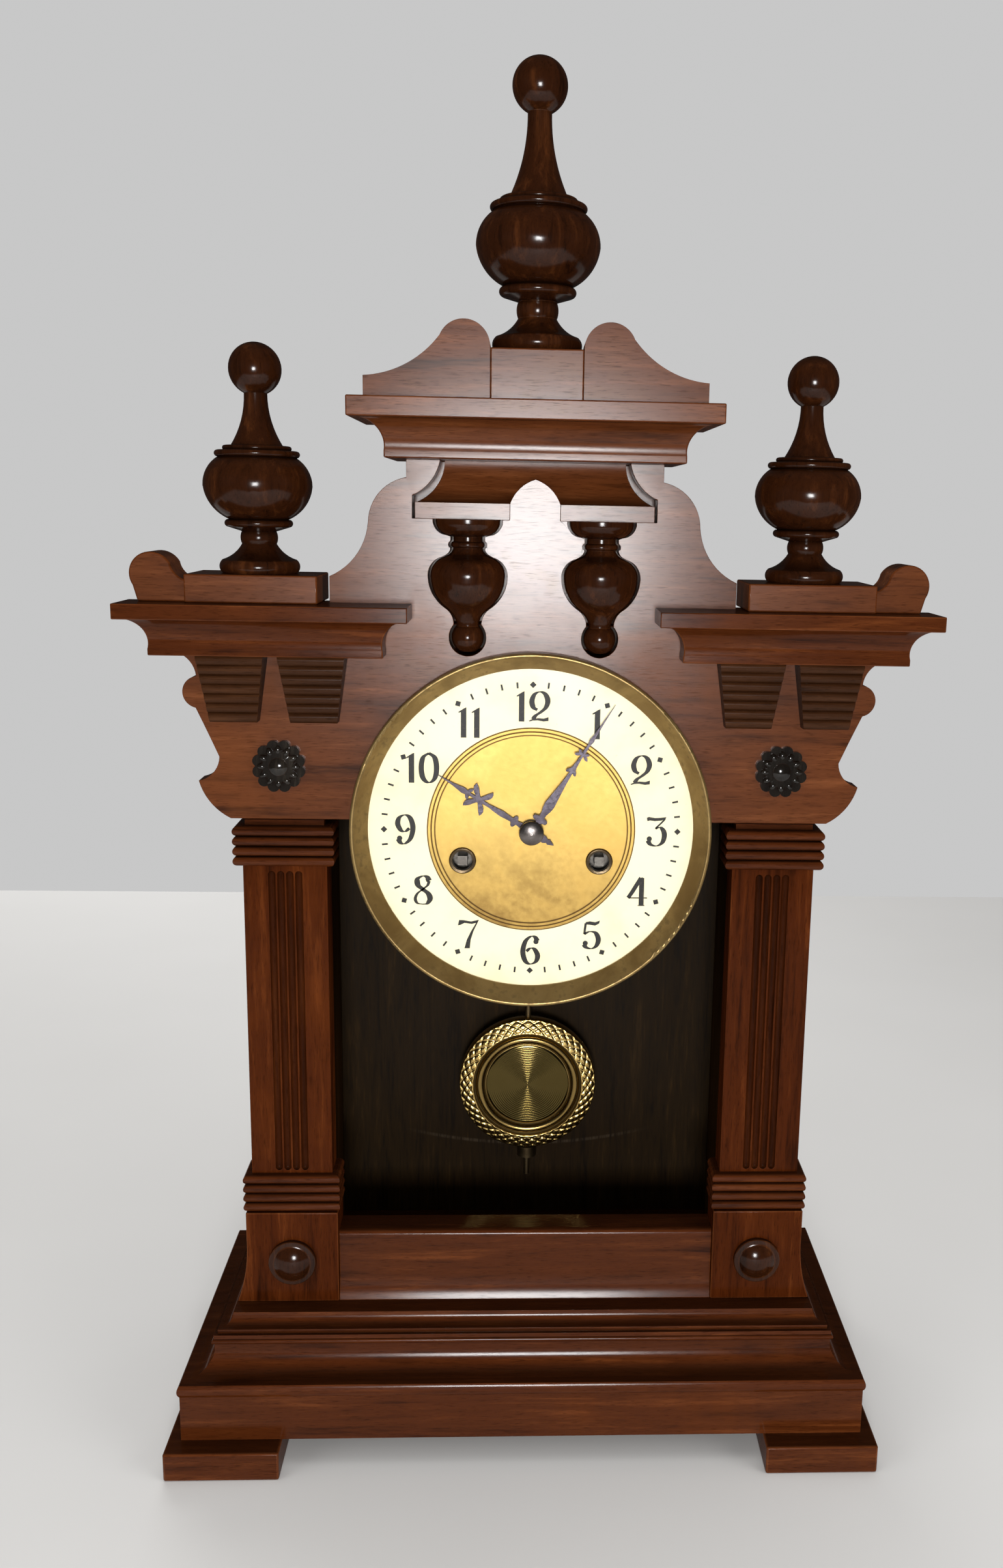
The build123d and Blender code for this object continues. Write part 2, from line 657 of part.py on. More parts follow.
shaft_front = BOARD_FRONT_Y - SHAFT_OUT
shaft = block(
    PILASTER_X - SHAFT_HALF_WIDTH, PILASTER_X + SHAFT_HALF_WIDTH, shaft_front, BOARD_BACK_Y, SHAFT_BOTTOM, SHAFT_TOP)
flute_length = SHAFT_HEIGHT - FLUTE_TOP_GAP - FLUTE_FOOT_GAP
flute_middle = SHAFT_BOTTOM + FLUTE_FOOT_GAP + flute_length / 2
for i in range(FLUTE_COUNT):
    flute_x = PILASTER_X + (i - (FLUTE_COUNT - 1) / 2) * FLUTE_PITCH
    flute = Pos(flute_x, shaft_front, flute_middle) * Cylinder(FLUTE_RADIUS, flute_length)
    for flute_end in (flute_middle - flute_length / 2, flute_middle + flute_length / 2):
        flute += Pos(flute_x, shaft_front, flute_end) * Sphere(FLUTE_RADIUS)
    shaft -= flute
save("pilaster_shafts", *mirrored_pair(shaft))

rail_face_y = BOARD_FRONT_Y - RAIL_OUT
rail_face = closed_face(
    lambda p: (-block_inner_x, p[0], p[1]),
    (rail_face_y + RAIL_DEPTH, FLOOR), (rail_face_y, FLOOR),
    ((rail_face_y - RAIL_CROWN, FLOOR + RAIL_HEIGHT / 2), (rail_face_y, FLOOR + RAIL_HEIGHT)),
    (rail_face_y + RAIL_DEPTH, FLOOR + RAIL_HEIGHT),
)
save("lower_rail", extrude(rail_face, amount=2 * block_inner_x, dir=(1, 0, 0)))

# Turned drops in the crest, and the fret-cut board that they hang in
pendant_y = BOARD_FRONT_Y + PENDANT_AXIS_BACK
ball_z = PENDANT_BOTTOM + 0.88 * PENDANT_BALL_RADIUS
waist_radius = 0.7 * PENDANT_BALL_RADIUS


def down_drop(share):
    """A height on the drop, as a share of its length below the shelf."""
    return SHELF_BOTTOM - share * PENDANT_LENGTH


def pendant_profile(gap):
    """The drop's half outline from its top disc down, grown outward by gap, as (radius, height) steps."""
    disc = PENDANT_DISC_RADIUS + gap
    neck = PENDANT_NECK_RADIUS + gap
    body = PENDANT_BODY_RADIUS + gap
    ball = PENDANT_BALL_RADIUS + gap
    waist = waist_radius + gap
    collar = 0.58 * body
    ball_meet_z = ball_z + sqrt(max(ball * ball - waist * waist, 0))
    foot_half = sqrt(ball * ball - (ball_z - PENDANT_BOTTOM) ** 2) if not gap else 0
    foot_z = PENDANT_BOTTOM if not gap else ball_z - ball
    return [
        (disc, SHELF_BOTTOM),
        (disc, down_drop(0.03)),
        ((0.89 * disc, down_drop(0.085)), (0.62 * disc, down_drop(0.118))),
        (neck, down_drop(0.13)),
        (neck, down_drop(0.165)),
        ((neck + 0.9, down_drop(0.19)), (neck, down_drop(0.215))),
        ((0.6 * neck + 0.4 * collar, down_drop(0.255)), (collar, down_drop(0.275))),
        (1.1 * collar, down_drop(0.285)),
        ((0.91 * body, down_drop(0.338)), (body, down_drop(0.442))),
        ((0.91 * body, down_drop(0.55)), (0.6 * body, down_drop(0.662))),
        ((0.41 * body, down_drop(0.72)), (waist, max(down_drop(0.775), ball_meet_z))),
        (waist, ball_meet_z),
        ((ball, ball_z), (foot_half, foot_z)),
    ]


pendant = turned_upright(PENDANT_X, pendant_y, (0, SHELF_BOTTOM), *pendant_profile(0), (0, PENDANT_BOTTOM))
save("pendants", *mirrored_pair(pendant))

fret_path = pendant_profile(PENDANT_GAP)
fret_outer = moved_profile(fret_path, lambda p: (PENDANT_X + p[0], p[1]))
half_fret = closed_face(
    at_depth(BOARD_FRONT_Y), (PENDANT_X, SHELF_BOTTOM), *fret_outer, (PENDANT_X, SHELF_BOTTOM))
pendant_fret = extrude(half_fret, amount=BOARD_THICKNESS, dir=(0, 1, 0))
pendant_fret += mirror(pendant_fret, about=Plane.YZ.offset(PENDANT_X))
flare_z = SHELF_TOP + 0.15 * SHELF_DROP
horn_flare = CREST_OPENING_X - CREST_OPENING_TOP_X
tongue_top = CREST_TOP - TONGUE_TOP_DROP
tongue_side = [
    (TONGUE_HALF_WIDTH, SHELF_BOTTOM), (TONGUE_HALF_WIDTH, SHELF_TOP),
    ((0.62 * TONGUE_HALF_WIDTH, SHELF_TOP + 0.62 * (tongue_top - SHELF_TOP)), (0, tongue_top)),
]
crest_half = plate(
    BOARD_FRONT_Y, BOARD_BACK_Y, (0, CREST_TOP), (CREST_OPENING_TOP_X, CREST_TOP),
    ((CREST_OPENING_TOP_X + 0.33 * horn_flare, flare_z + 0.41 * (CREST_TOP - flare_z)), (CREST_OPENING_X, flare_z)),
    (CREST_OPENING_X, SHELF_BOTTOM), *tongue_side,
)

board_foot_inner = sqrt(DIAL_OPENING_RADIUS ** 2 - DIAL_DROP ** 2)
shoulder_end = CORNICE_TOP + SHOULDER_END_RISE
shoulder_mid = CORNICE_TOP + SHOULDER_MID_RISE
crest_neck = CREST_TOP - CREST_NECK


def rise(height):
    """A height above the front board's lower edge."""
    return BOARD_BOTTOM + height


board_half = plate(
    BOARD_FRONT_Y, BOARD_BACK_Y, (board_foot_inner, BOARD_BOTTOM), (BOARD_FOOT_X, BOARD_BOTTOM),
    ((0.5 * (BOARD_FOOT_X + EAR_X) + 1.5, rise(0.4 * EAR_RISE)), (EAR_X, rise(EAR_RISE))),
    ((HOLLOW_X + 2.0, rise(EAR_RISE + 4.0)), (HOLLOW_X, rise(HOLLOW_RISE))),
    ((0.6 * HOLLOW_X + 0.4 * LOBE_X - 1.0, rise(0.5 * (HOLLOW_RISE + LOBE_RISE) - 4.0)),
     (0.35 * HOLLOW_X + 0.65 * LOBE_X, rise(0.3 * HOLLOW_RISE + 0.7 * LOBE_RISE))),
    ((LOBE_X, rise(LOBE_RISE)), (NOTCH_X, rise(NOTCH_RISE))),
    ((NOTCH_X + 1.5, rise(0.5 * (NOTCH_RISE + CORNICE_RISE))), (WING_X, rise(CORNICE_RISE))),
    (WING_X, CORNICE_TOP), (SHOULDER_X, CORNICE_TOP), (SHOULDER_X, shoulder_end),
    ((0.26 * SHOULDER_X + 0.74 * SHOULDER_MID_X, 0.55 * shoulder_end + 0.45 * shoulder_mid),
     (SHOULDER_MID_X, shoulder_mid)),
    ((0.32 * CREST_X + 0.68 * SHOULDER_MID_X, 0.32 * shoulder_mid + 0.68 * crest_neck), (CREST_X, crest_neck)),
    (CREST_X, CREST_TOP), (0, CREST_TOP), (0, DIAL_Z + DIAL_OPENING_RADIUS),
    ((DIAL_OPENING_RADIUS * sin(radians(45)), DIAL_Z + DIAL_OPENING_RADIUS * cos(radians(45))),
     (board_foot_inner, BOARD_BOTTOM)),
)
board_half -= crest_half
board_half -= pendant_fret
front_board = board_half + mirror(board_half, about=Plane.YZ)
save("front_board", front_board)

shelf_front = BOARD_FRONT_Y - SHELF_PROUD
shelf_profile = [
    (horn_flare, SHELF_BOTTOM), (horn_flare, SHELF_TOP), (horn_flare - 0.6, SHELF_TOP),
    ((0.3 * horn_flare, 0.64 * SHELF_TOP + 0.36 * CREST_TOP), (0, CREST_TOP)),
]
shelf_reach = SHELF_HALF_WIDTH - horn_flare
crest_moulding = moulded_board(shelf_profile, -shelf_reach, shelf_reach, shelf_front + horn_flare, CREST_BACK_Y)
tongue_slot = plate(shelf_front, BOARD_BACK_Y, (0, SHELF_BOTTOM), *tongue_side)
crest_moulding -= tongue_slot
crest_moulding -= mirror(tongue_slot, about=Plane.YZ)
save("crest_moulding", crest_moulding)

crest_block = block(-CREST_X, CREST_X, BOARD_BACK_Y, BOARD_BACK_Y + CREST_BACK_DEPTH, CASE_TOP, CREST_TOP)
crest_pocket = 0.5 * (CREST_X + CREST_OPENING_X)
crest_block -= block(-crest_pocket, crest_pocket, BOARD_BACK_Y, CREST_BACK_Y, CASE_TOP, CREST_TOP)
save("crest_block", crest_block)


def cornice_profile(bottom, height, slab, flare, soffit):
    """A cove under a flat slab, as (outward, height) steps."""
    slab_bottom = bottom + height - slab
    cove_out = flare - soffit
    return [
        (0, bottom),
        (0, bottom + 0.12 * height),
        ((0.28 * cove_out, slab_bottom - 0.28 * (0.88 * height - slab)), (cove_out, slab_bottom)),
        (flare, slab_bottom),
        (flare, bottom + height),
    ]


# Side cornices with their brackets and rosettes
side_cornice = moulded_board(
    cornice_profile(CORNICE_BOTTOM, CORNICE_HEIGHT, CORNICE_SLAB, CORNICE_FLARE, CORNICE_SOFFIT),
    CORNICE_INNER_X, CORNICE_OUTER_X, BOARD_FRONT_Y - CORNICE_OUT, BOARD_FRONT_Y)
save("side_cornices", *mirrored_pair(side_cornice))

bracket_bottom = CORNICE_BOTTOM - BRACKET_HEIGHT
bracket_pitch = BRACKET_HEIGHT / BRACKET_REEDS
brackets = []
for bracket_x in BRACKET_CENTRES_X:
    front_steps = []
    for i in range(BRACKET_REEDS):
        out_low = BRACKET_FOOT_OUT + (BRACKET_TOP_OUT - BRACKET_FOOT_OUT) * i / BRACKET_REEDS
        out_high = BRACKET_FOOT_OUT + (BRACKET_TOP_OUT - BRACKET_FOOT_OUT) * (i + 1) / BRACKET_REEDS
        low = bracket_bottom + i * bracket_pitch
        bulge_y = BOARD_FRONT_Y - 0.5 * (out_low + out_high) - REED_BULGE
        front_steps.append(((bulge_y, low + bracket_pitch / 2), (BOARD_FRONT_Y - out_high, low + bracket_pitch)))
    side_face = closed_face(
        lambda p: (bracket_x - BRACKET_TOP_WIDTH, p[0], p[1]), (BOARD_FRONT_Y, bracket_bottom),
        (BOARD_FRONT_Y - BRACKET_FOOT_OUT, bracket_bottom), *front_steps, (BOARD_FRONT_Y, CORNICE_BOTTOM))
    reeded = extrude(side_face, amount=2 * BRACKET_TOP_WIDTH, dir=(1, 0, 0))
    taper = plate(
        BOARD_FRONT_Y - 2 * BRACKET_TOP_OUT, BOARD_FRONT_Y,
        (bracket_x - BRACKET_FOOT_WIDTH / 2, bracket_bottom), (bracket_x + BRACKET_FOOT_WIDTH / 2, bracket_bottom),
        (bracket_x + BRACKET_TOP_WIDTH / 2, CORNICE_BOTTOM), (bracket_x - BRACKET_TOP_WIDTH / 2, CORNICE_BOTTOM))
    brackets += mirrored_pair(reeded & taper)
save("reed_brackets", *brackets)

rosette_z = BOARD_BOTTOM + ROSETTE_RISE
rosette_face_y = BOARD_FRONT_Y - ROSETTE_THICKNESS
boss_radius = 0.34 * ROSETTE_RADIUS
boss_y = rosette_face_y - ROSETTE_STEP


def petal_ring(radius, front_y, back_y, turn):
    """A flat flower of half-round petals about the rosette's middle."""
    steps = []
    for i in range(ROSETTE_PETALS + 1):
        tip = radians(360 / ROSETTE_PETALS * (i - 0.5) + turn)
        valley = radians(360 / ROSETTE_PETALS * i + turn)
        end = (ROSETTE_X + 0.85 * radius * cos(valley), rosette_z + 0.85 * radius * sin(valley))
        through = (ROSETTE_X + radius * cos(tip), rosette_z + radius * sin(tip))
        steps.append((through, end) if i else end)
    return plate(front_y, back_y, *steps)


rosette = petal_ring(ROSETTE_RADIUS, rosette_face_y, BOARD_FRONT_Y, 0)
rosette += petal_ring(0.66 * ROSETTE_RADIUS, boss_y, rosette_face_y, 180 / ROSETTE_PETALS)
rosette += turned_level(
    ROSETTE_X, rosette_z, (0, boss_y - ROSETTE_STEP),
    (cap_point(boss_radius, boss_y, boss_y - ROSETTE_STEP), (boss_radius, boss_y)), (0, boss_y))
save("rosettes", *mirrored_pair(rosette))

# Finial blocks, scroll ears and the three turned finials
block_left = FINIAL_BLOCK_CENTRE_X - FINIAL_BLOCK_WIDTH / 2
block_right = FINIAL_BLOCK_CENTRE_X + FINIAL_BLOCK_WIDTH / 2
finial_block_front = BOARD_FRONT_Y - FINIAL_BLOCK_OUT
finial_block = block(
    block_left, block_right, finial_block_front, finial_block_front + FINIAL_BLOCK_DEPTH,
    CORNICE_TOP, FINIAL_BLOCK_TOP)
pediment_front = BOARD_FRONT_Y - PEDIMENT_OUT
pediment_block = block(
    -PEDIMENT_BLOCK_HALF_WIDTH, PEDIMENT_BLOCK_HALF_WIDTH, pediment_front, pediment_front + PEDIMENT_BLOCK_DEPTH,
    CROWN_TOP, PEDIMENT_BLOCK_TOP)
save("finial_blocks", *mirrored_pair(finial_block), pediment_block)

ear_x = block_right + SCROLL_EAR_REACH
ear_z = CORNICE_TOP + SCROLL_EAR_RISE
ear_low = radians(-32)
ear_high = radians(150)
ear_end = (ear_x + SCROLL_EAR_RADIUS * cos(ear_high), ear_z + SCROLL_EAR_RADIUS * sin(ear_high))
ear_front = BOARD_FRONT_Y - SCROLL_EAR_OUT
scroll_ear = plate(
    ear_front, ear_front + SCROLL_EAR_DEPTH, (block_right, CORNICE_TOP),
    (block_right + SCROLL_EAR_FOOT, CORNICE_TOP),
    (ear_x + SCROLL_EAR_RADIUS * cos(ear_low), ear_z + SCROLL_EAR_RADIUS * sin(ear_low)),
    ((ear_x, ear_z + SCROLL_EAR_RADIUS), ear_end),
    ((0.45 * block_right + 0.55 * ear_end[0], ear_z - 0.4), (block_right, ear_z - 2.0)),
)
save("scroll_ears", *mirrored_pair(scroll_ear))


def finial(x, y, bottom, height, disc, bulb, ball, disc_share, collar_share):
    """A turned finial: cushion disc, stem, bulb between collars, tapering neck and ball."""
    cushion = disc_share * height
    stem = 0.43 * disc
    stem_low = bottom + 1.3 * cushion
    stem_top = bottom + (disc_share + 0.085) * height
    collar = 0.575 * bulb
    bulb_low = bottom + collar_share * height
    bulb_z = bulb_low + 0.62 * bulb
    bulb_high = bulb_z + 0.52 * bulb
    ring_meet = bulb_high + 0.12 * bulb
    neck_low = ring_meet + 0.09 * bulb
    neck_flare = 0.477 * bulb
    ball_centre = bottom + height - ball
    neck_high = 0.44 * ball
    neck_top_z = ball_centre - sqrt(ball * ball - neck_high * neck_high)
    return turned_upright(
        x, y, (0, bottom), (0.92 * disc, bottom),
        ((disc, bottom + 0.3 * cushion), (0.92 * disc, bottom + 0.6 * cushion)),
        ((0.6 * disc, bottom + 0.92 * cushion), (stem, stem_low)),
        ((1.08 * stem, 0.5 * (stem_low + stem_top)), (stem, stem_top)),
        (collar, stem_top + 0.08 * bulb), ((collar + 0.05 * bulb, bulb_low - 0.08 * bulb), (0.52 * bulb, bulb_low)),
        ((0.86 * bulb, bulb_z - 0.36 * bulb), (bulb, bulb_z)),
        ((0.92 * bulb, bulb_z + 0.31 * bulb), (0.72 * bulb, bulb_high)),
        ((0.78 * bulb, 0.5 * (bulb_high + ring_meet)), (0.7 * bulb, ring_meet)), (0.6 * bulb, ring_meet),
        ((0.63 * bulb, 0.5 * (ring_meet + neck_low)), (0.58 * bulb, neck_low)), (neck_flare, neck_low),
        ((0.62 * neck_high + 0.38 * neck_flare, 0.64 * neck_low + 0.36 * neck_top_z), (neck_high, neck_top_z)),
        ((ball, ball_centre), (0, ball_centre + ball)),
    )


side_finial = finial(
    FINIAL_X, FINIAL_Y, FINIAL_BLOCK_TOP, SIDE_FINIAL_HEIGHT, SIDE_DISC_RADIUS, SIDE_BULB_RADIUS, SIDE_BALL_RADIUS,
    0.1, 0.235)
top_finial = finial(
    0, pediment_front + PEDIMENT_BLOCK_DEPTH / 2, PEDIMENT_BLOCK_TOP, TOP_FINIAL_HEIGHT, TOP_DISC_RADIUS,
    TOP_BULB_RADIUS, TOP_BALL_RADIUS, 0.092, 0.228)
save("side_finials", *mirrored_pair(side_finial))
save("top_finial", top_finial)

# Crown cornice and pediment scrolls
save("crown_cornice", moulded_board(
    cornice_profile(CREST_TOP, CROWN_HEIGHT, CROWN_SLAB, CROWN_FLARE, CROWN_SOFFIT),
    -CROWN_HALF_WIDTH, CROWN_HALF_WIDTH, BOARD_FRONT_Y - CROWN_OUT, BOARD_FRONT_Y + CROWN_BACK))

scroll_end_z = CROWN_TOP + PEDIMENT_END_HEIGHT
turn_z = CROWN_TOP + PEDIMENT_TURN_HEIGHT
pediment_scroll = plate(
    pediment_front, pediment_front + PEDIMENT_DEPTH, (PEDIMENT_BLOCK_HALF_WIDTH, CROWN_TOP),
    (PEDIMENT_OUTER_X, CROWN_TOP), (PEDIMENT_OUTER_X, scroll_end_z),
    ((0.38 * PEDIMENT_OUTER_X + 0.62 * PEDIMENT_TURN_X, 0.64 * scroll_end_z + 0.36 * turn_z),
     (PEDIMENT_TURN_X, turn_z)),
    ((PEDIMENT_PEAK_X, CROWN_TOP + PEDIMENT_PEAK_HEIGHT), (PEDIMENT_BLOCK_HALF_WIDTH, PEDIMENT_BLOCK_TOP)),
)
save("pediment_scrolls", *mirrored_pair(pediment_scroll))

# Dial: bezel, pan with its feet, chapter ring, centre disc and winding grommets
bezel_lip = BOARD_FRONT_Y - BEZEL_OUT
lip_inner = BEZEL_RADIUS - 1.9
bezel = turned_level(
    0, DIAL_Z, (BEZEL_SIGHT_RADIUS, CHAPTER_Y), (BEZEL_SIGHT_RADIUS, CHAPTER_Y - 0.8),
    (lip_inner, bezel_lip + 0.6), ((lip_inner + 0.9, bezel_lip), (BEZEL_RADIUS, bezel_lip + 0.9)),
    (BEZEL_RADIUS, BOARD_FRONT_Y), (DIAL_RADIUS, BOARD_FRONT_Y), (DIAL_RADIUS, CHAPTER_Y),
)
save("bezel", bezel)


def winding_holes(radius, front_y, back_y):
    """Two round cutters at the winding squares."""
    return [drum(side * WINDING_X, WINDING_Z, radius, front_y, back_y) for side in (-1, 1)]


hour_pipe_hole = HOUR_PIPE_RADIUS + CLEAR_GAP
dial_pan = drum(0, DIAL_Z, DIAL_RADIUS, DIAL_PAN_Y, DIAL_PAN_Y + DIAL_PAN_THICKNESS)
for foot_side in (-1, 1):
    for foot_drop in (-PILLAR_LOW, PILLAR_HIGH - 2 * PILLAR_RADIUS):
        dial_pan += drum(foot_side * (PILLAR_X - 3 * PILLAR_RADIUS), DIAL_Z + foot_drop, DIAL_FOOT_RADIUS,
                         DIAL_PAN_Y, FRONT_PLATE_Y)
for hole in winding_holes(GROMMET_RADIUS - 1.0, DIAL_PAN_Y, DIAL_PAN_Y + DIAL_PAN_THICKNESS):
    dial_pan -= hole
dial_pan -= drum(0, DIAL_Z, hour_pipe_hole, DIAL_PAN_Y, DIAL_PAN_Y + DIAL_PAN_THICKNESS)
save("dial_pan", dial_pan)

save("chapter_ring", drum(0, DIAL_Z, DIAL_RADIUS, CHAPTER_Y, DIAL_PAN_Y)
     - drum(0, DIAL_Z, CHAPTER_INNER_RADIUS, CHAPTER_Y, DIAL_PAN_Y))

centre_face_y = DIAL_PAN_Y - DIAL_CENTRE_THICKNESS
dial_centre = drum(0, DIAL_Z, CHAPTER_INNER_RADIUS, centre_face_y, DIAL_PAN_Y)
ring_face_y = centre_face_y - CENTRE_RING_OUT
for i in range(CENTRE_RINGS):
    ring_outer = CHAPTER_INNER_RADIUS - CENTRE_RING_GAP - i * (CENTRE_RING_WIDTH + CENTRE_RING_GAP)
    dial_centre += (drum(0, DIAL_Z, ring_outer, ring_face_y, centre_face_y)
                    - drum(0, DIAL_Z, ring_outer - CENTRE_RING_WIDTH, ring_face_y, centre_face_y))
dial_centre -= drum(0, DIAL_Z, hour_pipe_hole, centre_face_y, DIAL_PAN_Y)
for hole in winding_holes(GROMMET_RADIUS - 1.0, centre_face_y, DIAL_PAN_Y):
    dial_centre -= hole
save("dial_centre", dial_centre)

grommet = turned_level(
    WINDING_X, WINDING_Z, (GROMMET_BORE, centre_face_y - 0.6), (GROMMET_RADIUS - 0.5, centre_face_y - 0.9),
    (GROMMET_RADIUS, centre_face_y), (GROMMET_RADIUS - 1.0, centre_face_y),
    (GROMMET_RADIUS - 1.0, DIAL_PAN_Y + DIAL_PAN_THICKNESS), (GROMMET_BORE, DIAL_PAN_Y + DIAL_PAN_THICKNESS),
)
save("winding_grommets", *mirrored_pair(grommet))


def hand_outline(stations, turn):
    """A hand's outline from (distance, half width) stations, turned clockwise from twelve."""
    angle = clock_angle(turn)
    along = (cos(angle), sin(angle))
    across = (-along[1], along[0])
    right = [(d * along[0] - w * across[0], DIAL_Z + d * along[1] - w * across[1]) for d, w in stations]
    left = [(d * along[0] + w * across[0], DIAL_Z + d * along[1] + w * across[1]) for d, w in reversed(stations)]
    return right + left


def hand(stations, turn, out, hub, bore):
    """A flat hand with a round hub, in front of the dial's face."""
    front = BOARD_FRONT_Y - out - HAND_THICKNESS
    back = BOARD_FRONT_Y - out
    shape = plate(front, back, *hand_outline(stations, turn)) + drum(0, DIAL_Z, hub, front, back)
    return shape - drum(0, DIAL_Z, bore, front, back)


def spread(length, shares, widths):
    """Stations along a hand at shares of its length."""
    return [(length * share, width) for share, width in zip(shares, widths)]


hour_stations = spread(
    HOUR_HAND_LENGTH, (-0.24, -0.16, -0.11, 0, 0.3, 0.36, 0.46, 0.56, 0.66, 0.71, 0.84, 1.0),
    (0.3, 1.6, 1.0, 1.4, 1.0, 4.2, 6.4, 5.2, 1.6, 2.4, 1.2, 0.3))
minute_stations = spread(
    MINUTE_HAND_LENGTH, (0, 0.09, 0.11, 0.18, 0.42, 0.46, 0.52, 0.58, 0.6, 0.62, 0.66, 0.8, 1.0),
    (1.6, 1.4, 2.8, 2.4, 1.2, 3.4, 1.0, 1.2, 3.8, 1.2, 1.6, 0.9, 0.3))
save("hour_hand", hand(hour_stations, HOUR_HAND_ANGLE, HOUR_HAND_OUT, 5.0, HOUR_PIPE_RADIUS))
save("minute_hand", hand(minute_stations, MINUTE_HAND_ANGLE, MINUTE_HAND_OUT, 3.8, CANNON_RADIUS))

nut_back = BOARD_FRONT_Y - MINUTE_HAND_OUT - HAND_THICKNESS
save("hand_nut", turned_level(
    0, DIAL_Z, (ARBOR_RADIUS + RUNNING_GAP, nut_back), (HAND_NUT_RADIUS, nut_back), (HAND_NUT_RADIUS, nut_back - 1.2),
    (cap_point(HAND_NUT_RADIUS, nut_back - 1.2, nut_back - 2.8), (0, nut_back - 2.8)), (0, nut_back - 1.8),
    (ARBOR_RADIUS + RUNNING_GAP, nut_back - 1.8)))

# Going train: places of the arbors
barrel_x = WINDING_X
third_distance = CENTRE_MODULE * (CENTRE_TEETH + THIRD_PINION_TEETH) / 2
third_x = third_distance * cos(radians(THIRD_DIRECTION))
third_z = DIAL_Z + third_distance * sin(radians(THIRD_DIRECTION))
escape_distance = THIRD_MODULE * (THIRD_TEETH + ESCAPE_PINION_TEETH) / 2
escape_x = 0.0
escape_z = third_z + sqrt(escape_distance ** 2 - third_x ** 2)
escape_direction = degrees(atan2(escape_z - third_z, escape_x - third_x))
minute_distance = CANNON_MODULE * (CANNON_TEETH + MINUTE_TEETH) / 2
hour_module = 2 * minute_distance / (MINUTE_PINION_TEETH + HOUR_TEETH)
minute_z = DIAL_Z - minute_distance
pin_x = -WINDING_X + GREAT_DISTANCE * cos(radians(PIN_WHEEL_DIRECTION))
pin_z = WINDING_Z + GREAT_DISTANCE * sin(radians(PIN_WHEEL_DIRECTION))
fly_distance = PIN_MODULE * (PIN_WHEEL_TEETH + FLY_PINION_TEETH) / 2
fly_x = pin_x + fly_distance * cos(radians(FLY_DIRECTION))
fly_z = pin_z + fly_distance * sin(radians(FLY_DIRECTION))
hammer_z = DIAL_Z + HAMMER_RISE

barrel_front = TRAIN_Y + BARREL_START - 2.0
barrel_back = barrel_front + BARREL_LENGTH
going_great_y = barrel_front + 1.0
strike_great_y = barrel_back - 1.0 - WHEEL_THICKNESS
great_direction = degrees(atan2(DIAL_Z - WINDING_Z, -barrel_x))


def mating_turn(direction, teeth):
    """The tooth angle of a gear whose gap faces back along direction."""
    return direction + 180 + 180 / teeth


spring_inner = BARREL_ARBOR_RADIUS + SPRING_ARBOR_GAP + SPRING_STRIP / 2
spring_turns = int((BARREL_RADIUS - BARREL_WALL - SPRING_STRIP - spring_inner) / SPRING_PITCH)
spring_coil = spiral_arcs(spring_inner, spring_turns, SPRING_PITCH)
spring_end = SPRING_SHIFT_X + spring_coil[-1][0] + spring_coil[-1][1] - SPRING_STRIP / 2


def barrel(x, great_y, direction):
    """A mainspring barrel with its great wheel and the hook for the spring's outer end, and its cap."""
    cap_front = barrel_back - BARREL_WALL
    bore = BARREL_ARBOR_RADIUS + RUNNING_GAP
    shell = drum(x, WINDING_Z, BARREL_RADIUS, barrel_front, barrel_back)
    shell += gear(GREAT_TEETH, GREAT_MODULE, WHEEL_TOOTH, x, WINDING_Z, great_y, great_y + WHEEL_THICKNESS, direction)
    shell -= drum(x, WINDING_Z, BARREL_RADIUS - BARREL_WALL, barrel_front + BARREL_WALL, barrel_back)
    shell += block(
        x + spring_end, x + BARREL_RADIUS - BARREL_WALL / 2, barrel_front + BARREL_WALL, cap_front - CLEAR_GAP,
        WINDING_Z + SPRING_SHIFT_Z, WINDING_Z + SPRING_SHIFT_Z + 3 * SPRING_STRIP)
    shell -= drum(x, WINDING_Z, bore, barrel_front, barrel_back)
    cap = drum(x, WINDING_Z, BARREL_RADIUS - BARREL_WALL, cap_front, barrel_back)
    cap -= drum(x, WINDING_Z, bore, cap_front, barrel_back)
    return [shell, cap]


def mainspring(x):
    """The coiled strip inside a barrel, set off its middle so that the barrel balances."""
    return spiral_strip(
        x + SPRING_SHIFT_X, WINDING_Z + SPRING_SHIFT_Z, spring_coil, SPRING_STRIP,
        barrel_front + BARREL_WALL + CLEAR_GAP, barrel_back - BARREL_WALL - CLEAR_GAP)


ratchet_y = BOARD_FRONT_Y + RATCHET_DEPTH
ratchet_root = RATCHET_RADIUS - 1.6


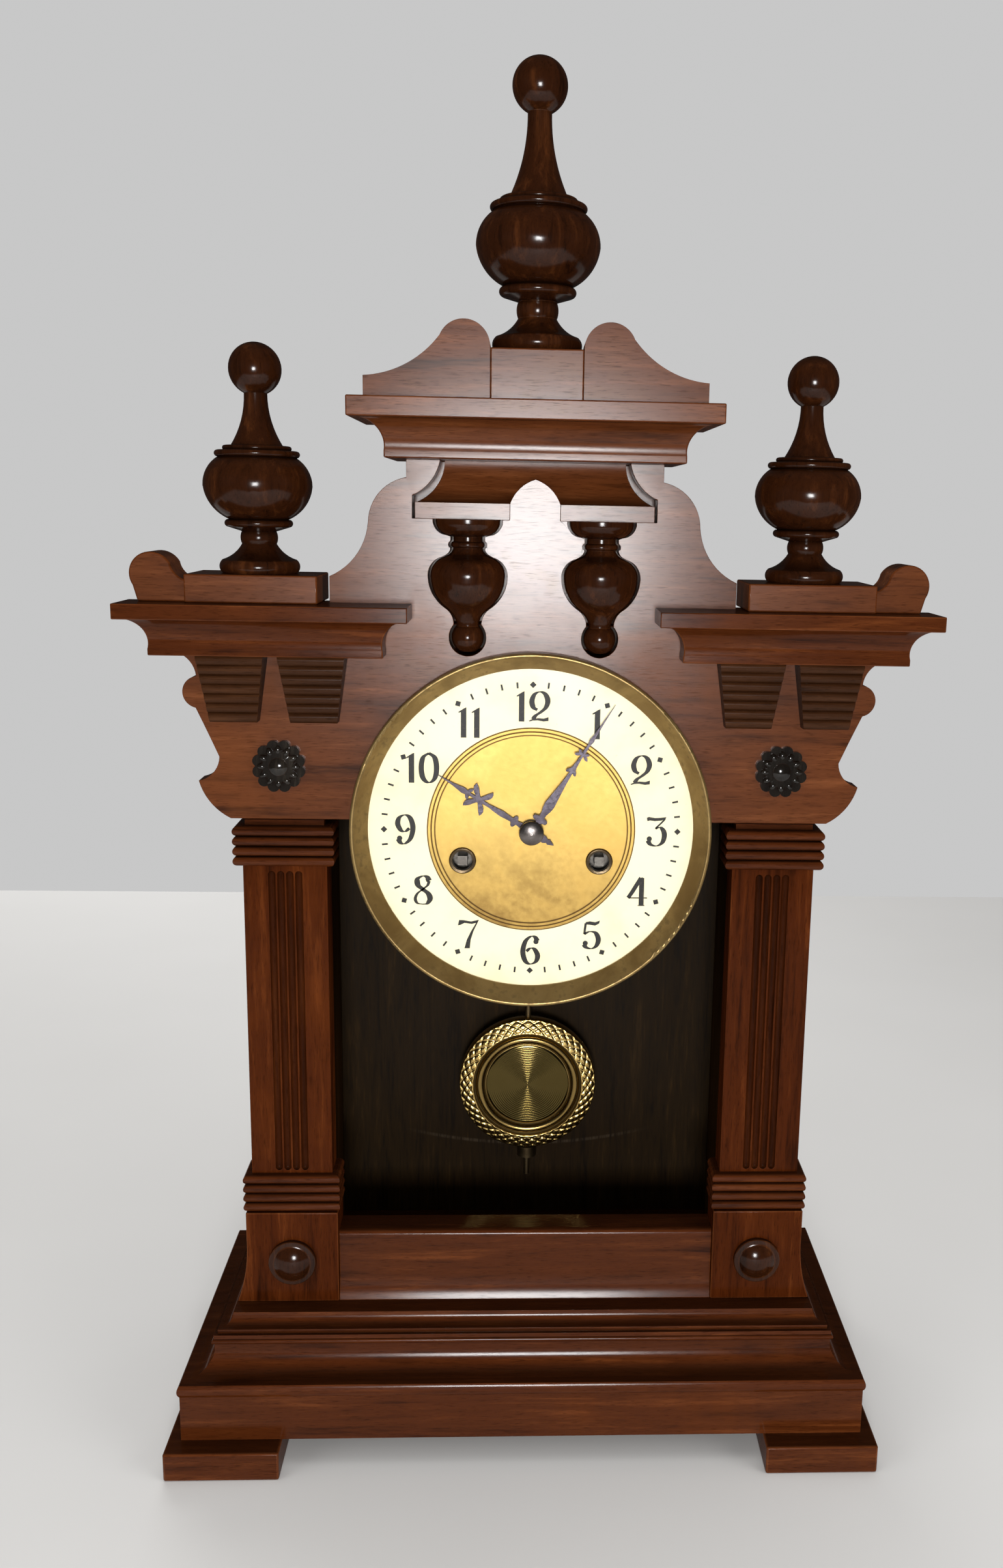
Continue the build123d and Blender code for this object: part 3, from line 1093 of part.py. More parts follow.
def winding_arbor(x):
    """A barrel arbor with its winding square in front and its ratchet in front of the plate."""
    arbor = drum(x, WINDING_Z, BARREL_ARBOR_RADIUS, TRAIN_Y + CLEAR_GAP, BACK_PLATE_Y - CLEAR_GAP)
    arbor += drum(x, WINDING_Z, 2 * PIVOT_RADIUS, ratchet_y, TRAIN_Y + CLEAR_GAP)
    arbor += drum(x, WINDING_Z, PIVOT_RADIUS, BACK_PLATE_Y - CLEAR_GAP, MOVEMENT_BACK_Y)
    half = WINDING_SQUARE / 2
    arbor += block(
        x - half, x + half, BOARD_FRONT_Y + WINDING_END_BACK, ratchet_y, WINDING_Z - half, WINDING_Z + half)
    points = []
    for i in range(RATCHET_TEETH):
        low = radians(360 / RATCHET_TEETH * i)
        high = radians(360 / RATCHET_TEETH * (i + 0.9))
        points.append((ratchet_root * cos(low), ratchet_root * sin(low)))
        points.append((RATCHET_RADIUS * cos(high), RATCHET_RADIUS * sin(high)))
    return arbor + toothed(points, x, WINDING_Z, ratchet_y, ratchet_y + RATCHET_THICKNESS)


def click(x, side):
    """A click lever on its own stud, with its nose just clear of the ratchet's teeth."""
    stud_x = x + side * 0.72 * CLICK_REACH
    stud_z = WINDING_Z - 0.72 * CLICK_REACH
    reach = RATCHET_RADIUS + CLICK_LIFT_GAP
    nose_angle = radians(-20 if side > 0 else 200)
    nose = (x + reach * cos(nose_angle), WINDING_Z + reach * sin(nose_angle))
    heel_x = nose[0] + side * 3.0
    lever = plate(
        ratchet_y, ratchet_y + RATCHET_THICKNESS, nose, (heel_x, nose[1] + 0.6), (stud_x + side * 2.2, stud_z),
        (stud_x - side * 1.2, stud_z + 0.6))
    lever += drum(stud_x, stud_z, 2.6, ratchet_y, ratchet_y + RATCHET_THICKNESS)
    return lever - drum(stud_x, stud_z, PIVOT_RADIUS + RUNNING_GAP, ratchet_y, ratchet_y + RATCHET_THICKNESS)


click_studs = [(side * (barrel_x + 0.72 * CLICK_REACH), WINDING_Z - 0.72 * CLICK_REACH) for side in (-1, 1)]
save("time_barrel", *barrel(barrel_x, going_great_y, great_direction))
save("strike_barrel", *barrel(-barrel_x, strike_great_y, PIN_WHEEL_DIRECTION))
save("time_mainspring", mainspring(barrel_x))
save("strike_mainspring", mainspring(-barrel_x))
save("time_winding_arbor", winding_arbor(barrel_x))
save("strike_winding_arbor", winding_arbor(-barrel_x))
save("time_click", click(barrel_x, 1))
save("strike_click", click(-barrel_x, -1))


def train_wheel(x, z, teeth, module, depth, turn, pinion_teeth, pinion_module, pinion_depth, pinion_turn, openings):
    """A wheel and its pinion, without their arbor; depths are the front faces behind the board's face."""
    wheel_y = BOARD_FRONT_Y + depth
    radius = module * teeth / 2
    wheel = gear(teeth, module, WHEEL_TOOTH, x, z, wheel_y, wheel_y + WHEEL_THICKNESS, turn)
    wheel = crossed_out(wheel, x, z, radius, wheel_y, wheel_y + WHEEL_THICKNESS, openings)
    pinion_y = BOARD_FRONT_Y + pinion_depth
    pinion = gear(pinion_teeth, pinion_module, PINION_TOOTH, x, z, pinion_y, pinion_y + PINION_LENGTH, pinion_turn)
    return wheel + pinion


pinion_lead = (PINION_LENGTH - WHEEL_THICKNESS) / 2
centre_pinion_depth = going_great_y - BOARD_FRONT_Y - pinion_lead
centre_wheel = train_wheel(
    0, DIAL_Z, CENTRE_TEETH, CENTRE_MODULE, CENTRE_WHEEL_DEPTH, THIRD_DIRECTION,
    GREAT_PINION_TEETH, GREAT_MODULE, centre_pinion_depth, mating_turn(great_direction, GREAT_PINION_TEETH), 5)
centre_wheel += arbor_between_plates(0, DIAL_Z, ARBOR_RADIUS, PIVOT_RADIUS)
centre_wheel += drum(0, DIAL_Z, ARBOR_RADIUS, nut_back - 1.6, TRAIN_Y + CLEAR_GAP)
save("centre_wheel", centre_wheel)

third_wheel = train_wheel(
    third_x, third_z, THIRD_TEETH, THIRD_MODULE, THIRD_WHEEL_DEPTH, escape_direction,
    THIRD_PINION_TEETH, CENTRE_MODULE, CENTRE_WHEEL_DEPTH - pinion_lead,
    mating_turn(THIRD_DIRECTION, THIRD_PINION_TEETH), 5)
save("third_wheel", third_wheel + arbor_between_plates(third_x, third_z, TRAIN_ARBOR_RADIUS, TRAIN_PIVOT_RADIUS))

escape_y = BOARD_FRONT_Y + ESCAPE_WHEEL_DEPTH
escape_points = []
for i in range(ESCAPE_TEETH):
    root_angle = radians(360 / ESCAPE_TEETH * i)
    tip_angle = radians(360 / ESCAPE_TEETH * (i + 0.75))
    tip_end = radians(360 / ESCAPE_TEETH * (i + 0.85))
    escape_points.append((0.84 * ESCAPE_RADIUS * cos(root_angle), 0.84 * ESCAPE_RADIUS * sin(root_angle)))
    escape_points.append((ESCAPE_RADIUS * cos(tip_angle), ESCAPE_RADIUS * sin(tip_angle)))
    escape_points.append((ESCAPE_RADIUS * cos(tip_end), ESCAPE_RADIUS * sin(tip_end)))
escape_wheel = toothed(escape_points, escape_x, escape_z, escape_y, escape_y + WHEEL_THICKNESS)
escape_wheel = crossed_out(
    escape_wheel, escape_x, escape_z, 0.84 * ESCAPE_RADIUS, escape_y, escape_y + WHEEL_THICKNESS, 4)
escape_pinion_y = BOARD_FRONT_Y + THIRD_WHEEL_DEPTH - 0.6 * pinion_lead
escape_pinion_end = min(escape_pinion_y + PINION_LENGTH, BACK_PLATE_Y - CLEAR_GAP)
escape_wheel += gear(
    ESCAPE_PINION_TEETH, THIRD_MODULE, PINION_TOOTH, escape_x, escape_z, escape_pinion_y, escape_pinion_end,
    mating_turn(escape_direction, ESCAPE_PINION_TEETH))
escape_wheel += arbor_between_plates(escape_x, escape_z, TRAIN_ARBOR_RADIUS, TRAIN_PIVOT_RADIUS)
save("escape_wheel", escape_wheel)

# Verge: anchor with two pallets, its arbor, and the crutch behind the back plate
pallet_reach = ESCAPE_RADIUS + PALLET_CLEAR
verge_drop = VERGE_Z - escape_z
pallet_spread = acos(min(ESCAPE_RADIUS / verge_drop, 1))
pallet_x = pallet_reach * sin(pallet_spread)
pallet_z = escape_z + pallet_reach * cos(pallet_spread)
anchor = plate(
    escape_y, escape_y + WHEEL_THICKNESS, (0, VERGE_Z + PALLET_WIDTH),
    (pallet_x + PALLET_WIDTH, pallet_z + PALLET_WIDTH), (pallet_x + PALLET_WIDTH, pallet_z + 0.3),
    (pallet_x, pallet_z), (pallet_x - 0.3, pallet_z + 1.6), (0, VERGE_Z - PALLET_WIDTH))
anchor += mirror(anchor, about=Plane.YZ)
crutch_y = MOVEMENT_BACK_Y + CLEAR_GAP + 0.6
crutch_thickness = 1.4
verge = anchor + drum(0, VERGE_Z, ARBOR_RADIUS, TRAIN_Y + CLEAR_GAP, BACK_PLATE_Y - CLEAR_GAP)
verge += drum(0, VERGE_Z, PIVOT_RADIUS, FRONT_PLATE_Y, crutch_y + crutch_thickness)
fork_gap = ROD_RADIUS + CLEAR_GAP
fork_z = VERGE_Z - CRUTCH_LENGTH
fork_width = 1.6
verge += drum(0, VERGE_Z, 2.6 * PIVOT_RADIUS, crutch_y, crutch_y + crutch_thickness)
verge += block(-1.4, 1.4, crutch_y, crutch_y + crutch_thickness, fork_z, VERGE_Z)
verge += block(
    -fork_gap - fork_width, fork_gap + fork_width, crutch_y, crutch_y + crutch_thickness, fork_z - 3.0, fork_z + 1.0)
for side in (-1, 1):
    inner, outer = sorted((side * fork_gap, side * (fork_gap + fork_width)))
    verge += block(inner, outer, crutch_y, FORK_END_Y, fork_z - 3.0, fork_z)
save("verge", verge)

# Motion work in front of the plate
cannon_y = BOARD_FRONT_Y + MINUTE_WHEEL_DEPTH - 0.4
cannon_length = 2.2
cannon_front = BOARD_FRONT_Y - MINUTE_HAND_OUT - HAND_THICKNESS
cannon_bore = ARBOR_RADIUS + RUNNING_GAP
cannon = gear(CANNON_TEETH, CANNON_MODULE, PINION_TOOTH, 0, DIAL_Z, cannon_y, cannon_y + cannon_length, -90)
cannon += drum(0, DIAL_Z, CANNON_RADIUS, cannon_front, FRONT_PLATE_Y - CLEAR_GAP)
cannon -= drum(0, DIAL_Z, cannon_bore, cannon_front, FRONT_PLATE_Y)
save("cannon_pinion", cannon)

minute_y = BOARD_FRONT_Y + MINUTE_WHEEL_DEPTH
hour_y = BOARD_FRONT_Y + HOUR_WHEEL_DEPTH
minute_wheel = gear(
    MINUTE_TEETH, CANNON_MODULE, WHEEL_TOOTH, 0, minute_z, minute_y, minute_y + WHEEL_THICKNESS,
    mating_turn(-90, MINUTE_TEETH))
minute_wheel += gear(
    MINUTE_PINION_TEETH, hour_module, PINION_TOOTH, 0, minute_z, hour_y - 0.3, minute_y + WHEEL_THICKNESS / 2, 90)
minute_wheel -= drum(0, minute_z, PIVOT_RADIUS + RUNNING_GAP, hour_y - 1.0, minute_y + WHEEL_THICKNESS)
save("minute_wheel", minute_wheel)

hour_wheel = gear(
    HOUR_TEETH, hour_module, WHEEL_TOOTH, 0, DIAL_Z, hour_y, hour_y + WHEEL_THICKNESS, mating_turn(90, HOUR_TEETH))
hour_wheel += drum(0, DIAL_Z, HOUR_PIPE_RADIUS, BOARD_FRONT_Y - HOUR_HAND_OUT - HAND_THICKNESS, hour_y + WHEEL_THICKNESS)
hour_wheel -= drum(
    0, DIAL_Z, CANNON_RADIUS + RUNNING_GAP, BOARD_FRONT_Y - HOUR_HAND_OUT - HAND_THICKNESS, hour_y + WHEEL_THICKNESS)
save("hour_wheel", hour_wheel)

# Striking train: pin wheel, fly and hammer
pin_wheel = train_wheel(
    pin_x, pin_z, PIN_WHEEL_TEETH, PIN_MODULE, PIN_WHEEL_DEPTH, FLY_DIRECTION, GREAT_PINION_TEETH, GREAT_MODULE,
    strike_great_y - BOARD_FRONT_Y - pinion_lead, mating_turn(PIN_WHEEL_DIRECTION, GREAT_PINION_TEETH), 0)
pin_wheel += arbor_between_plates(pin_x, pin_z, TRAIN_ARBOR_RADIUS, TRAIN_PIVOT_RADIUS)
pin_wheel_y = BOARD_FRONT_Y + PIN_WHEEL_DEPTH
pin_circle = GREAT_DISTANCE - BARREL_RADIUS - LIFTING_PIN_RADIUS - CLEAR_GAP
for i in range(LIFTING_PINS):
    angle = radians(360 / LIFTING_PINS * i)
    pin_wheel += drum(
        pin_x + pin_circle * cos(angle), pin_z + pin_circle * sin(angle), LIFTING_PIN_RADIUS,
        pin_wheel_y + WHEEL_THICKNESS / 2, pin_wheel_y + 2.5 * WHEEL_THICKNESS)
save("pin_wheel", pin_wheel)

fly_pinion_y = pin_wheel_y - 0.4
fly = gear(
    FLY_PINION_TEETH, PIN_MODULE, PINION_TOOTH, fly_x, fly_z, fly_pinion_y, pin_wheel_y + 2 * WHEEL_THICKNESS,
    mating_turn(FLY_DIRECTION, FLY_PINION_TEETH))
fly_front = TRAIN_Y + FLY_START
fly += block(fly_x - FLY_RADIUS, fly_x + FLY_RADIUS, fly_front, fly_front + FLY_WIDTH, fly_z - 0.4, fly_z + 0.4)
save("strike_fly", fly + arbor_between_plates(fly_x, fly_z, TRAIN_ARBOR_RADIUS, TRAIN_PIVOT_RADIUS))

gong_coil = spiral_arcs(GONG_INNER_RADIUS, GONG_TURNS, GONG_PITCH)
gong_left = -gong_coil[-2][1] - GONG_STRIP / 2
hammer_y = BACKBOARD_Y - HAMMER_WALL_GAP - HAMMER_HEAD_RADIUS
hammer_rear = hammer_y + 1.0
tail_reach = hypot(HAMMER_X + pin_x, hammer_z - pin_z) - pin_circle - LIFTING_PIN_RADIUS - 2 * CLEAR_GAP
tail_angle = atan2(pin_z - hammer_z, pin_x + HAMMER_X)
hammer = drum(-HAMMER_X, hammer_z, ARBOR_RADIUS, TRAIN_Y + CLEAR_GAP, BACK_PLATE_Y - CLEAR_GAP)
hammer += drum(-HAMMER_X, hammer_z, PIVOT_RADIUS, FRONT_PLATE_Y, hammer_rear)
tail_y = pin_wheel_y + 1.6 * WHEEL_THICKNESS
tail_end = (-HAMMER_X + tail_reach * cos(tail_angle), hammer_z + tail_reach * sin(tail_angle))
tail_side = (-sin(tail_angle), cos(tail_angle))
hammer += plate(
    tail_y, tail_y + WHEEL_THICKNESS, (-HAMMER_X - tail_side[0], hammer_z - tail_side[1]),
    (tail_end[0] - tail_side[0], tail_end[1] - tail_side[1]), (tail_end[0] + tail_side[0], tail_end[1] + tail_side[1]),
    (-HAMMER_X + tail_side[0], hammer_z + tail_side[1]))
hammer += block(-HAMMER_X - 1.0, -HAMMER_X + 1.0, hammer_y - 1.0, hammer_rear, DIAL_Z, hammer_z)
head_face_x = gong_left - HAMMER_GAP
head_back_x = -HAMMER_X - HAMMER_HEAD_BACK
head = Pos((head_face_x + head_back_x) / 2, hammer_y, DIAL_Z) * Rotation(0, 90, 0) * Cylinder(
    HAMMER_HEAD_RADIUS, head_face_x - head_back_x)
save("hammer", hammer + head)

gong = spiral_strip(0, DIAL_Z, gong_coil, GONG_STRIP, GONG_Y, GONG_Y + GONG_DEPTH)
gong_block = block(
    GONG_INNER_RADIUS - 1.5 * GONG_STRIP, GONG_INNER_RADIUS + 1.5 * GONG_STRIP, GONG_Y, BACKBOARD_Y,
    DIAL_Z - 8.0, DIAL_Z)
save("gong", gong, gong_block)
print("least gap between turns: gong", round(least_strip_gap(gong_coil, GONG_STRIP), 3),
      "mainspring", round(least_strip_gap(spring_coil, SPRING_STRIP), 3))

# Movement frame: two plates with their pivot holes, pillars, brackets to the backboard and suspension cock
pivot_hole = PIVOT_RADIUS + RUNNING_GAP
train_hole = TRAIN_PIVOT_RADIUS + RUNNING_GAP
pivot_places = [
    (third_x, third_z, train_hole), (escape_x, escape_z, train_hole), (pin_x, pin_z, train_hole),
    (fly_x, fly_z, train_hole), (0, VERGE_Z, pivot_hole), (-HAMMER_X, hammer_z, pivot_hole),
]
front_plate = block(
    -PLATE_HALF_WIDTH, PLATE_HALF_WIDTH, FRONT_PLATE_Y, TRAIN_Y, DIAL_Z - PLATE_BELOW, DIAL_Z + PLATE_ABOVE)
back_plate = block(
    -PLATE_HALF_WIDTH, PLATE_HALF_WIDTH, BACK_PLATE_Y, MOVEMENT_BACK_Y, DIAL_Z - PLATE_BELOW, DIAL_Z + PLATE_ABOVE)
for hole_x, hole_z, hole in pivot_places:
    front_plate -= drum(hole_x, hole_z, hole, FRONT_PLATE_Y, TRAIN_Y)
    back_plate -= drum(hole_x, hole_z, hole, BACK_PLATE_Y, MOVEMENT_BACK_Y)
front_plate -= drum(0, DIAL_Z, ARBOR_RADIUS + RUNNING_GAP, FRONT_PLATE_Y, TRAIN_Y)
back_plate -= drum(0, DIAL_Z, pivot_hole, BACK_PLATE_Y, MOVEMENT_BACK_Y)
for side in (-1, 1):
    front_plate -= drum(side * barrel_x, WINDING_Z, 2 * PIVOT_RADIUS + RUNNING_GAP, FRONT_PLATE_Y, TRAIN_Y)
    back_plate -= drum(side * barrel_x, WINDING_Z, pivot_hole, BACK_PLATE_Y, MOVEMENT_BACK_Y)
front_plate += drum(0, minute_z, PIVOT_RADIUS, hour_y - 0.6, FRONT_PLATE_Y)
for stud_x, stud_z in click_studs:
    front_plate += drum(stud_x, stud_z, PIVOT_RADIUS, ratchet_y - 0.3, FRONT_PLATE_Y)
save("movement_front_plate", front_plate)
save("movement_back_plate", back_plate)

pillars = []
bracket_posts = []
for side in (-1, 1):
    for height in (-PILLAR_LOW, PILLAR_HIGH):
        pillars.append(drum(side * PILLAR_X, DIAL_Z + height, PILLAR_RADIUS, TRAIN_Y, BACK_PLATE_Y))
    for height in (-BRACKET_POST_LOW, BRACKET_POST_HIGH):
        post = drum(side * BRACKET_POST_X, DIAL_Z + height, BRACKET_POST_RADIUS, MOVEMENT_BACK_Y, BACKBOARD_Y)
        post += drum(side * BRACKET_POST_X, DIAL_Z + height, BRACKET_FLANGE_RADIUS,
                     BACKBOARD_Y - BRACKET_FLANGE_THICKNESS, BACKBOARD_Y)
        bracket_posts.append(post)
save("movement_pillars", *pillars)
save("movement_brackets", *bracket_posts)

pin_hole = SUSPENSION_PIN_RADIUS + RUNNING_GAP
cheek_inner = SUSPENSION_WIDTH / 2 + CLEAR_GAP
cheek_outer = cheek_inner + COCK_CHEEK
cock_bottom = VERGE_Z - 3.0
cock_bridge = VERGE_Z + 4.0
cock_top = VERGE_Z + PLATE_ABOVE - VERGE_RISE
cock = block(-COCK_WIDTH / 2, COCK_WIDTH / 2, MOVEMENT_BACK_Y, PENDULUM_Y + cheek_outer, cock_bridge, cock_top)
for cheek_front in (PENDULUM_Y - cheek_outer, PENDULUM_Y + cheek_inner):
    cheek = block(
        -COCK_WIDTH / 4, COCK_WIDTH / 4, cheek_front, cheek_front + COCK_CHEEK, cock_bottom, cock_bridge)
    cock += cheek - drum(0, VERGE_Z, pin_hole, cheek_front, cheek_front + COCK_CHEEK)
save("suspension_cock", cock)

# Pendulum: suspension spring with its pin, rod, bob and rating nut
strip_half = SUSPENSION_WIDTH / 2
hook_z = VERGE_Z - SUSPENSION_LENGTH
suspension = drum(0, VERGE_Z, SUSPENSION_PIN_RADIUS, PENDULUM_Y - cheek_outer, PENDULUM_Y + cheek_outer)
suspension += block(-1.5, 1.5, PENDULUM_Y - strip_half, PENDULUM_Y + strip_half, VERGE_Z - 2.0, VERGE_Z + 2.0)
suspension += block(-0.25, 0.25, PENDULUM_Y - strip_half, PENDULUM_Y + strip_half, hook_z, VERGE_Z)
suspension += block(
    -1.1 * ROD_RADIUS, 1.1 * ROD_RADIUS, PENDULUM_Y - strip_half, PENDULUM_Y + strip_half, hook_z - 5.0, hook_z)
rod_bottom = BOB_Z - BOB_RADIUS - ROD_TAIL
rod = Pos(0, PENDULUM_Y, (rod_bottom + hook_z - 5.0) / 2) * Cylinder(ROD_RADIUS, hook_z - 5.0 - rod_bottom)
save("pendulum_rod", suspension, rod)

rim_front = PENDULUM_Y - BOB_RIM_THICKNESS / 2
rim_back = PENDULUM_Y + BOB_RIM_THICKNESS / 2
bob_front = PENDULUM_Y - BOB_THICKNESS / 2
bob_back = PENDULUM_Y + BOB_THICKNESS / 2
groove = BOB_DISC_RADIUS + 2.0
bob = turned_level(
    0, BOB_Z, (0, bob_front + 0.5), (BOB_DISC_RADIUS - 1.0, bob_front + 1.4), (BOB_DISC_RADIUS - 0.6, bob_front),
    (BOB_DISC_RADIUS, bob_front), (BOB_DISC_RADIUS + 0.4, bob_front + 2.4), (groove, bob_front + 2.4),
    (groove + 0.5, bob_front + 0.4),
    ((0.5 * (groove + BOB_RADIUS) + 1.2, bob_front + 1.4), (BOB_RADIUS - 0.6, rim_front)),
    (BOB_RADIUS, rim_front + 0.6), (BOB_RADIUS, rim_back), (cap_point(BOB_RADIUS, rim_back, bob_back), (0, bob_back)),
)
bob -= Pos(0, PENDULUM_Y, BOB_Z) * Cylinder(ROD_RADIUS + RUNNING_GAP, 3 * BOB_RADIUS)
save("pendulum_bob", bob)

nut_top = BOB_Z - BOB_RADIUS - 0.3
nut = turned_upright(
    0, PENDULUM_Y, (ROD_RADIUS + RUNNING_GAP, nut_top), (NUT_RADIUS, nut_top), (NUT_RADIUS, nut_top - NUT_HEIGHT),
    (ROD_RADIUS + RUNNING_GAP, nut_top - NUT_HEIGHT))
save("rating_nut", nut)
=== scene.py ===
"""Steeple-shaped table clock: stained and polished wood, aged brass round a cream dial, blued steel hands."""

import json
from math import cos, hypot, pi, radians, sin

import bmesh
import bpy
from mathutils import Matrix, Vector


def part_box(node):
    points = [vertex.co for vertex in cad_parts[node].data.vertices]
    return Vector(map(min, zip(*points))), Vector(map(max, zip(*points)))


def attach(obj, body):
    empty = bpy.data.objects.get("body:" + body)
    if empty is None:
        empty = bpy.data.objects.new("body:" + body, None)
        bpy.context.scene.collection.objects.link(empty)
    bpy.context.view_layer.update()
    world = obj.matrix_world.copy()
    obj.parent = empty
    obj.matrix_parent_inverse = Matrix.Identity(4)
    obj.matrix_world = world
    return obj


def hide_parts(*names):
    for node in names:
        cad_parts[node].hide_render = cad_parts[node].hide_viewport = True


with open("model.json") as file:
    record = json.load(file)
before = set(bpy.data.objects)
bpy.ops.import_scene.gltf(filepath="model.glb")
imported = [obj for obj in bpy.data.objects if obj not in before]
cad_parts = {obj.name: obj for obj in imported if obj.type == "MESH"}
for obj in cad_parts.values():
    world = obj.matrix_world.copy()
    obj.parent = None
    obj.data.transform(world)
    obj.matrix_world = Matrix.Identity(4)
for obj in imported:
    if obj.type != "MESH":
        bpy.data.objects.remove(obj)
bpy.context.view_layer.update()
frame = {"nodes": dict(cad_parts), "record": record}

# Feet and base boards
# Four block feet, a plinth box and two moulded boards of wood, stained red-brown and French polished.
# They are glued one on the other; handling and waxing have eased every edge.
MM = 0.001
RECORD = frame["record"]
SLOT_OF = {part["node"]: part["material_slot"] for part in RECORD["subparts"]}
BODY_OF = {node: body for body, nodes in RECORD["behaviour"]["bodies"].items() for node in nodes}


class Value:
    """A node's output; arithmetic on it, and abs(), adds Math nodes to its graph."""

    def __init__(self, graph, socket):
        self.graph = graph
        self.socket = socket

    def math(self, operation, *inputs):
        return self.graph.node("ShaderNodeMath", {"operation": operation}, dict(enumerate(inputs)))

    def __add__(self, other):
        return self.math("ADD", self, other)

    def __sub__(self, other):
        return self.math("SUBTRACT", self, other)

    def __rsub__(self, other):
        return self.math("SUBTRACT", other, self)

    def __mul__(self, other):
        return self.math("MULTIPLY", self, other)

    def __mod__(self, other):
        return self.math("MODULO", self, other)

    def __abs__(self):
        return self.math("ABSOLUTE", self)

    __radd__ = __add__
    __rmul__ = __mul__


class Graph:
    """A node tree that is filled one node at a time."""

    def __init__(self, tree):
        self.tree = tree

    def node(self, kind, settings, sockets, output=0):
        """Adds a node, sets it, fills its sockets with values or links and gives one output."""
        node = self.tree.nodes.new(kind)
        for name, value in settings.items():
            setattr(node, name, value)
        self.fill(node, sockets)
        return Value(self, node.outputs[output])

    def fill(self, node, sockets):
        for name, value in sockets.items():
            if isinstance(value, Value):
                self.tree.links.new(value.socket, node.inputs[name])
            else:
                node.inputs[name].default_value = value


class Finish(Graph):
    """A material with one Principled shader."""

    def __init__(self, name, sockets):
        self.material = bpy.data.materials.new(name)
        self.material.use_nodes = True
        super().__init__(self.material.node_tree)
        self.shader = self.tree.nodes["Principled BSDF"]
        self.fill(self.shader, sockets)

    def point(self, scale=(1, 1, 1)):
        """The place on the piece in metres, stretched by scale."""
        place = self.node("ShaderNodeTexCoord", {}, {}, "Object")
        return self.node("ShaderNodeMapping", {}, {"Vector": place, "Scale": scale})

    def coordinate(self, vector, axis):
        """One coordinate of a vector."""
        return self.node("ShaderNodeSeparateXYZ", {}, {"Vector": vector}, axis)

    def noise(self, point, scale, detail=3, rough=0.55, distortion=0):
        return self.node("ShaderNodeTexNoise", {}, {
            "Vector": point, "Scale": scale, "Detail": detail, "Roughness": rough, "Distortion": distortion})

    def step(self, value, low, high):
        """A smooth rise from 0 at low to 1 at high."""
        return self.node("ShaderNodeMapRange", {"interpolation_type": "SMOOTHSTEP"}, {
            "Value": value, "From Min": low, "From Max": high})

    def mix(self, factor, first, second):
        return self.node("ShaderNodeMix", {"data_type": "RGBA"}, {0: factor, 6: first, 7: second}, 2)

    def upward(self, low, high):
        """1 on faces that look up, 0 on upright faces."""
        normal = self.node("ShaderNodeNewGeometry", {}, {}, "Normal")
        return self.step(self.coordinate(normal, "Z"), low, high)

    def openness(self, reach):
        """1 on open faces, less in the piece's own grooves and corners."""
        return self.node("ShaderNodeAmbientOcclusion", {"samples": 4, "only_local": True}, {
            "Distance": reach}, "AO")

    def bump(self, height, distance):
        return self.node("ShaderNodeBump", {}, {"Height": height, "Distance": distance})

    def paint(self, sockets):
        self.fill(self.shader, sockets)
        return self.material


def rgb(red, green, blue):
    return (red, green, blue, 1)


# The wood's patterns, and the values between which each of them sets in
GRAIN_STRETCH = 13
BROAD_GRAIN = {"scale": 8, "detail": 5, "rough": 0.6, "distortion": 1.1}
FINE_GRAIN = {"scale": 38, "detail": 3, "rough": 0.65, "distortion": 0.3}
PORES = {"scale": 210, "detail": 2, "rough": 0.6}
CLOUDS = {"scale": 17, "detail": 4, "rough": 0.6}
MIDDLE_TONE = (0.3, 0.5)
PALE_TONE = (0.5, 0.72)
FILLED_PORE = (0.3, 0.46)
RUBBED = (0.52, 0.74)
OPEN_FACE = (0.45, 0.97)
SHADED_LEDGE = (0.6, 0.95)
BROAD_SHARE = 0.62
PORE_STAIN = 0.55
GROOVE_REACH = 3.5 * MM
GRAIN_RELIEF = 0.08 * MM
POLISH_IOR = 1.45
# Near-black of the painted shade in grooves and corners and on upward faces
PAINTED_SHADE = rgb(0.0075, 0.0026, 0.0010)


def polished_wood(name, grain, tones, gloss, blur, wear, crevice_shade=0.9):
    """Stained wood under polish, grain along X or Z, with worn patches, and painted shade in its grooves and
    corners and on the faces that look up.
    """
    dark, middle, pale = tones
    finish = Finish(name, {"Coat Roughness": blur, "Coat IOR": POLISH_IOR, "Specular IOR Level": 0.0})
    stretched = finish.point([1 if axis == grain else GRAIN_STRETCH for axis in "XYZ"])
    streaks = finish.noise(stretched, **FINE_GRAIN)
    tone = finish.noise(stretched, **BROAD_GRAIN) * BROAD_SHARE + streaks * (1 - BROAD_SHARE)
    colour = finish.mix(finish.step(tone, *MIDDLE_TONE), dark, middle)
    colour = finish.mix(finish.step(tone, *PALE_TONE), colour, pale)
    pores = finish.noise(stretched, **PORES)
    open_pores = 1 - finish.step(pores, *FILLED_PORE)
    colour = finish.mix(open_pores * PORE_STAIN, colour, dark)
    clouds = finish.noise(finish.point(), **CLOUDS)
    rubbed = finish.step(clouds, *RUBBED)
    colour = finish.mix(rubbed * wear, colour, pale)
    # Painted shade: the wood darkens towards near-black where its own grooves and corners close it in
    crevice_shade_mask = 1 - finish.step(finish.openness(GROOVE_REACH), *OPEN_FACE)
    colour = finish.mix(crevice_shade_mask * crevice_shade, colour, PAINTED_SHADE)
    # Painted shade: faces that look up darken towards the same near-black, more in some patches than others
    ledge_shade = finish.upward(*SHADED_LEDGE) * (0.45 + clouds * 0.5)
    colour = finish.mix(ledge_shade, colour, PAINTED_SHADE)
    return finish.paint({
        "Base Color": colour,
        "Roughness": 0.4 + streaks * 0.16 + rubbed * 0.1,
        "Coat Weight": (1 - rubbed * 0.3 - open_pores * 0.35 - crevice_shade_mask * 0.3) * gloss,
        "Normal": finish.bump(pores * 0.6 + streaks * 0.4, GRAIN_RELIEF),
    })


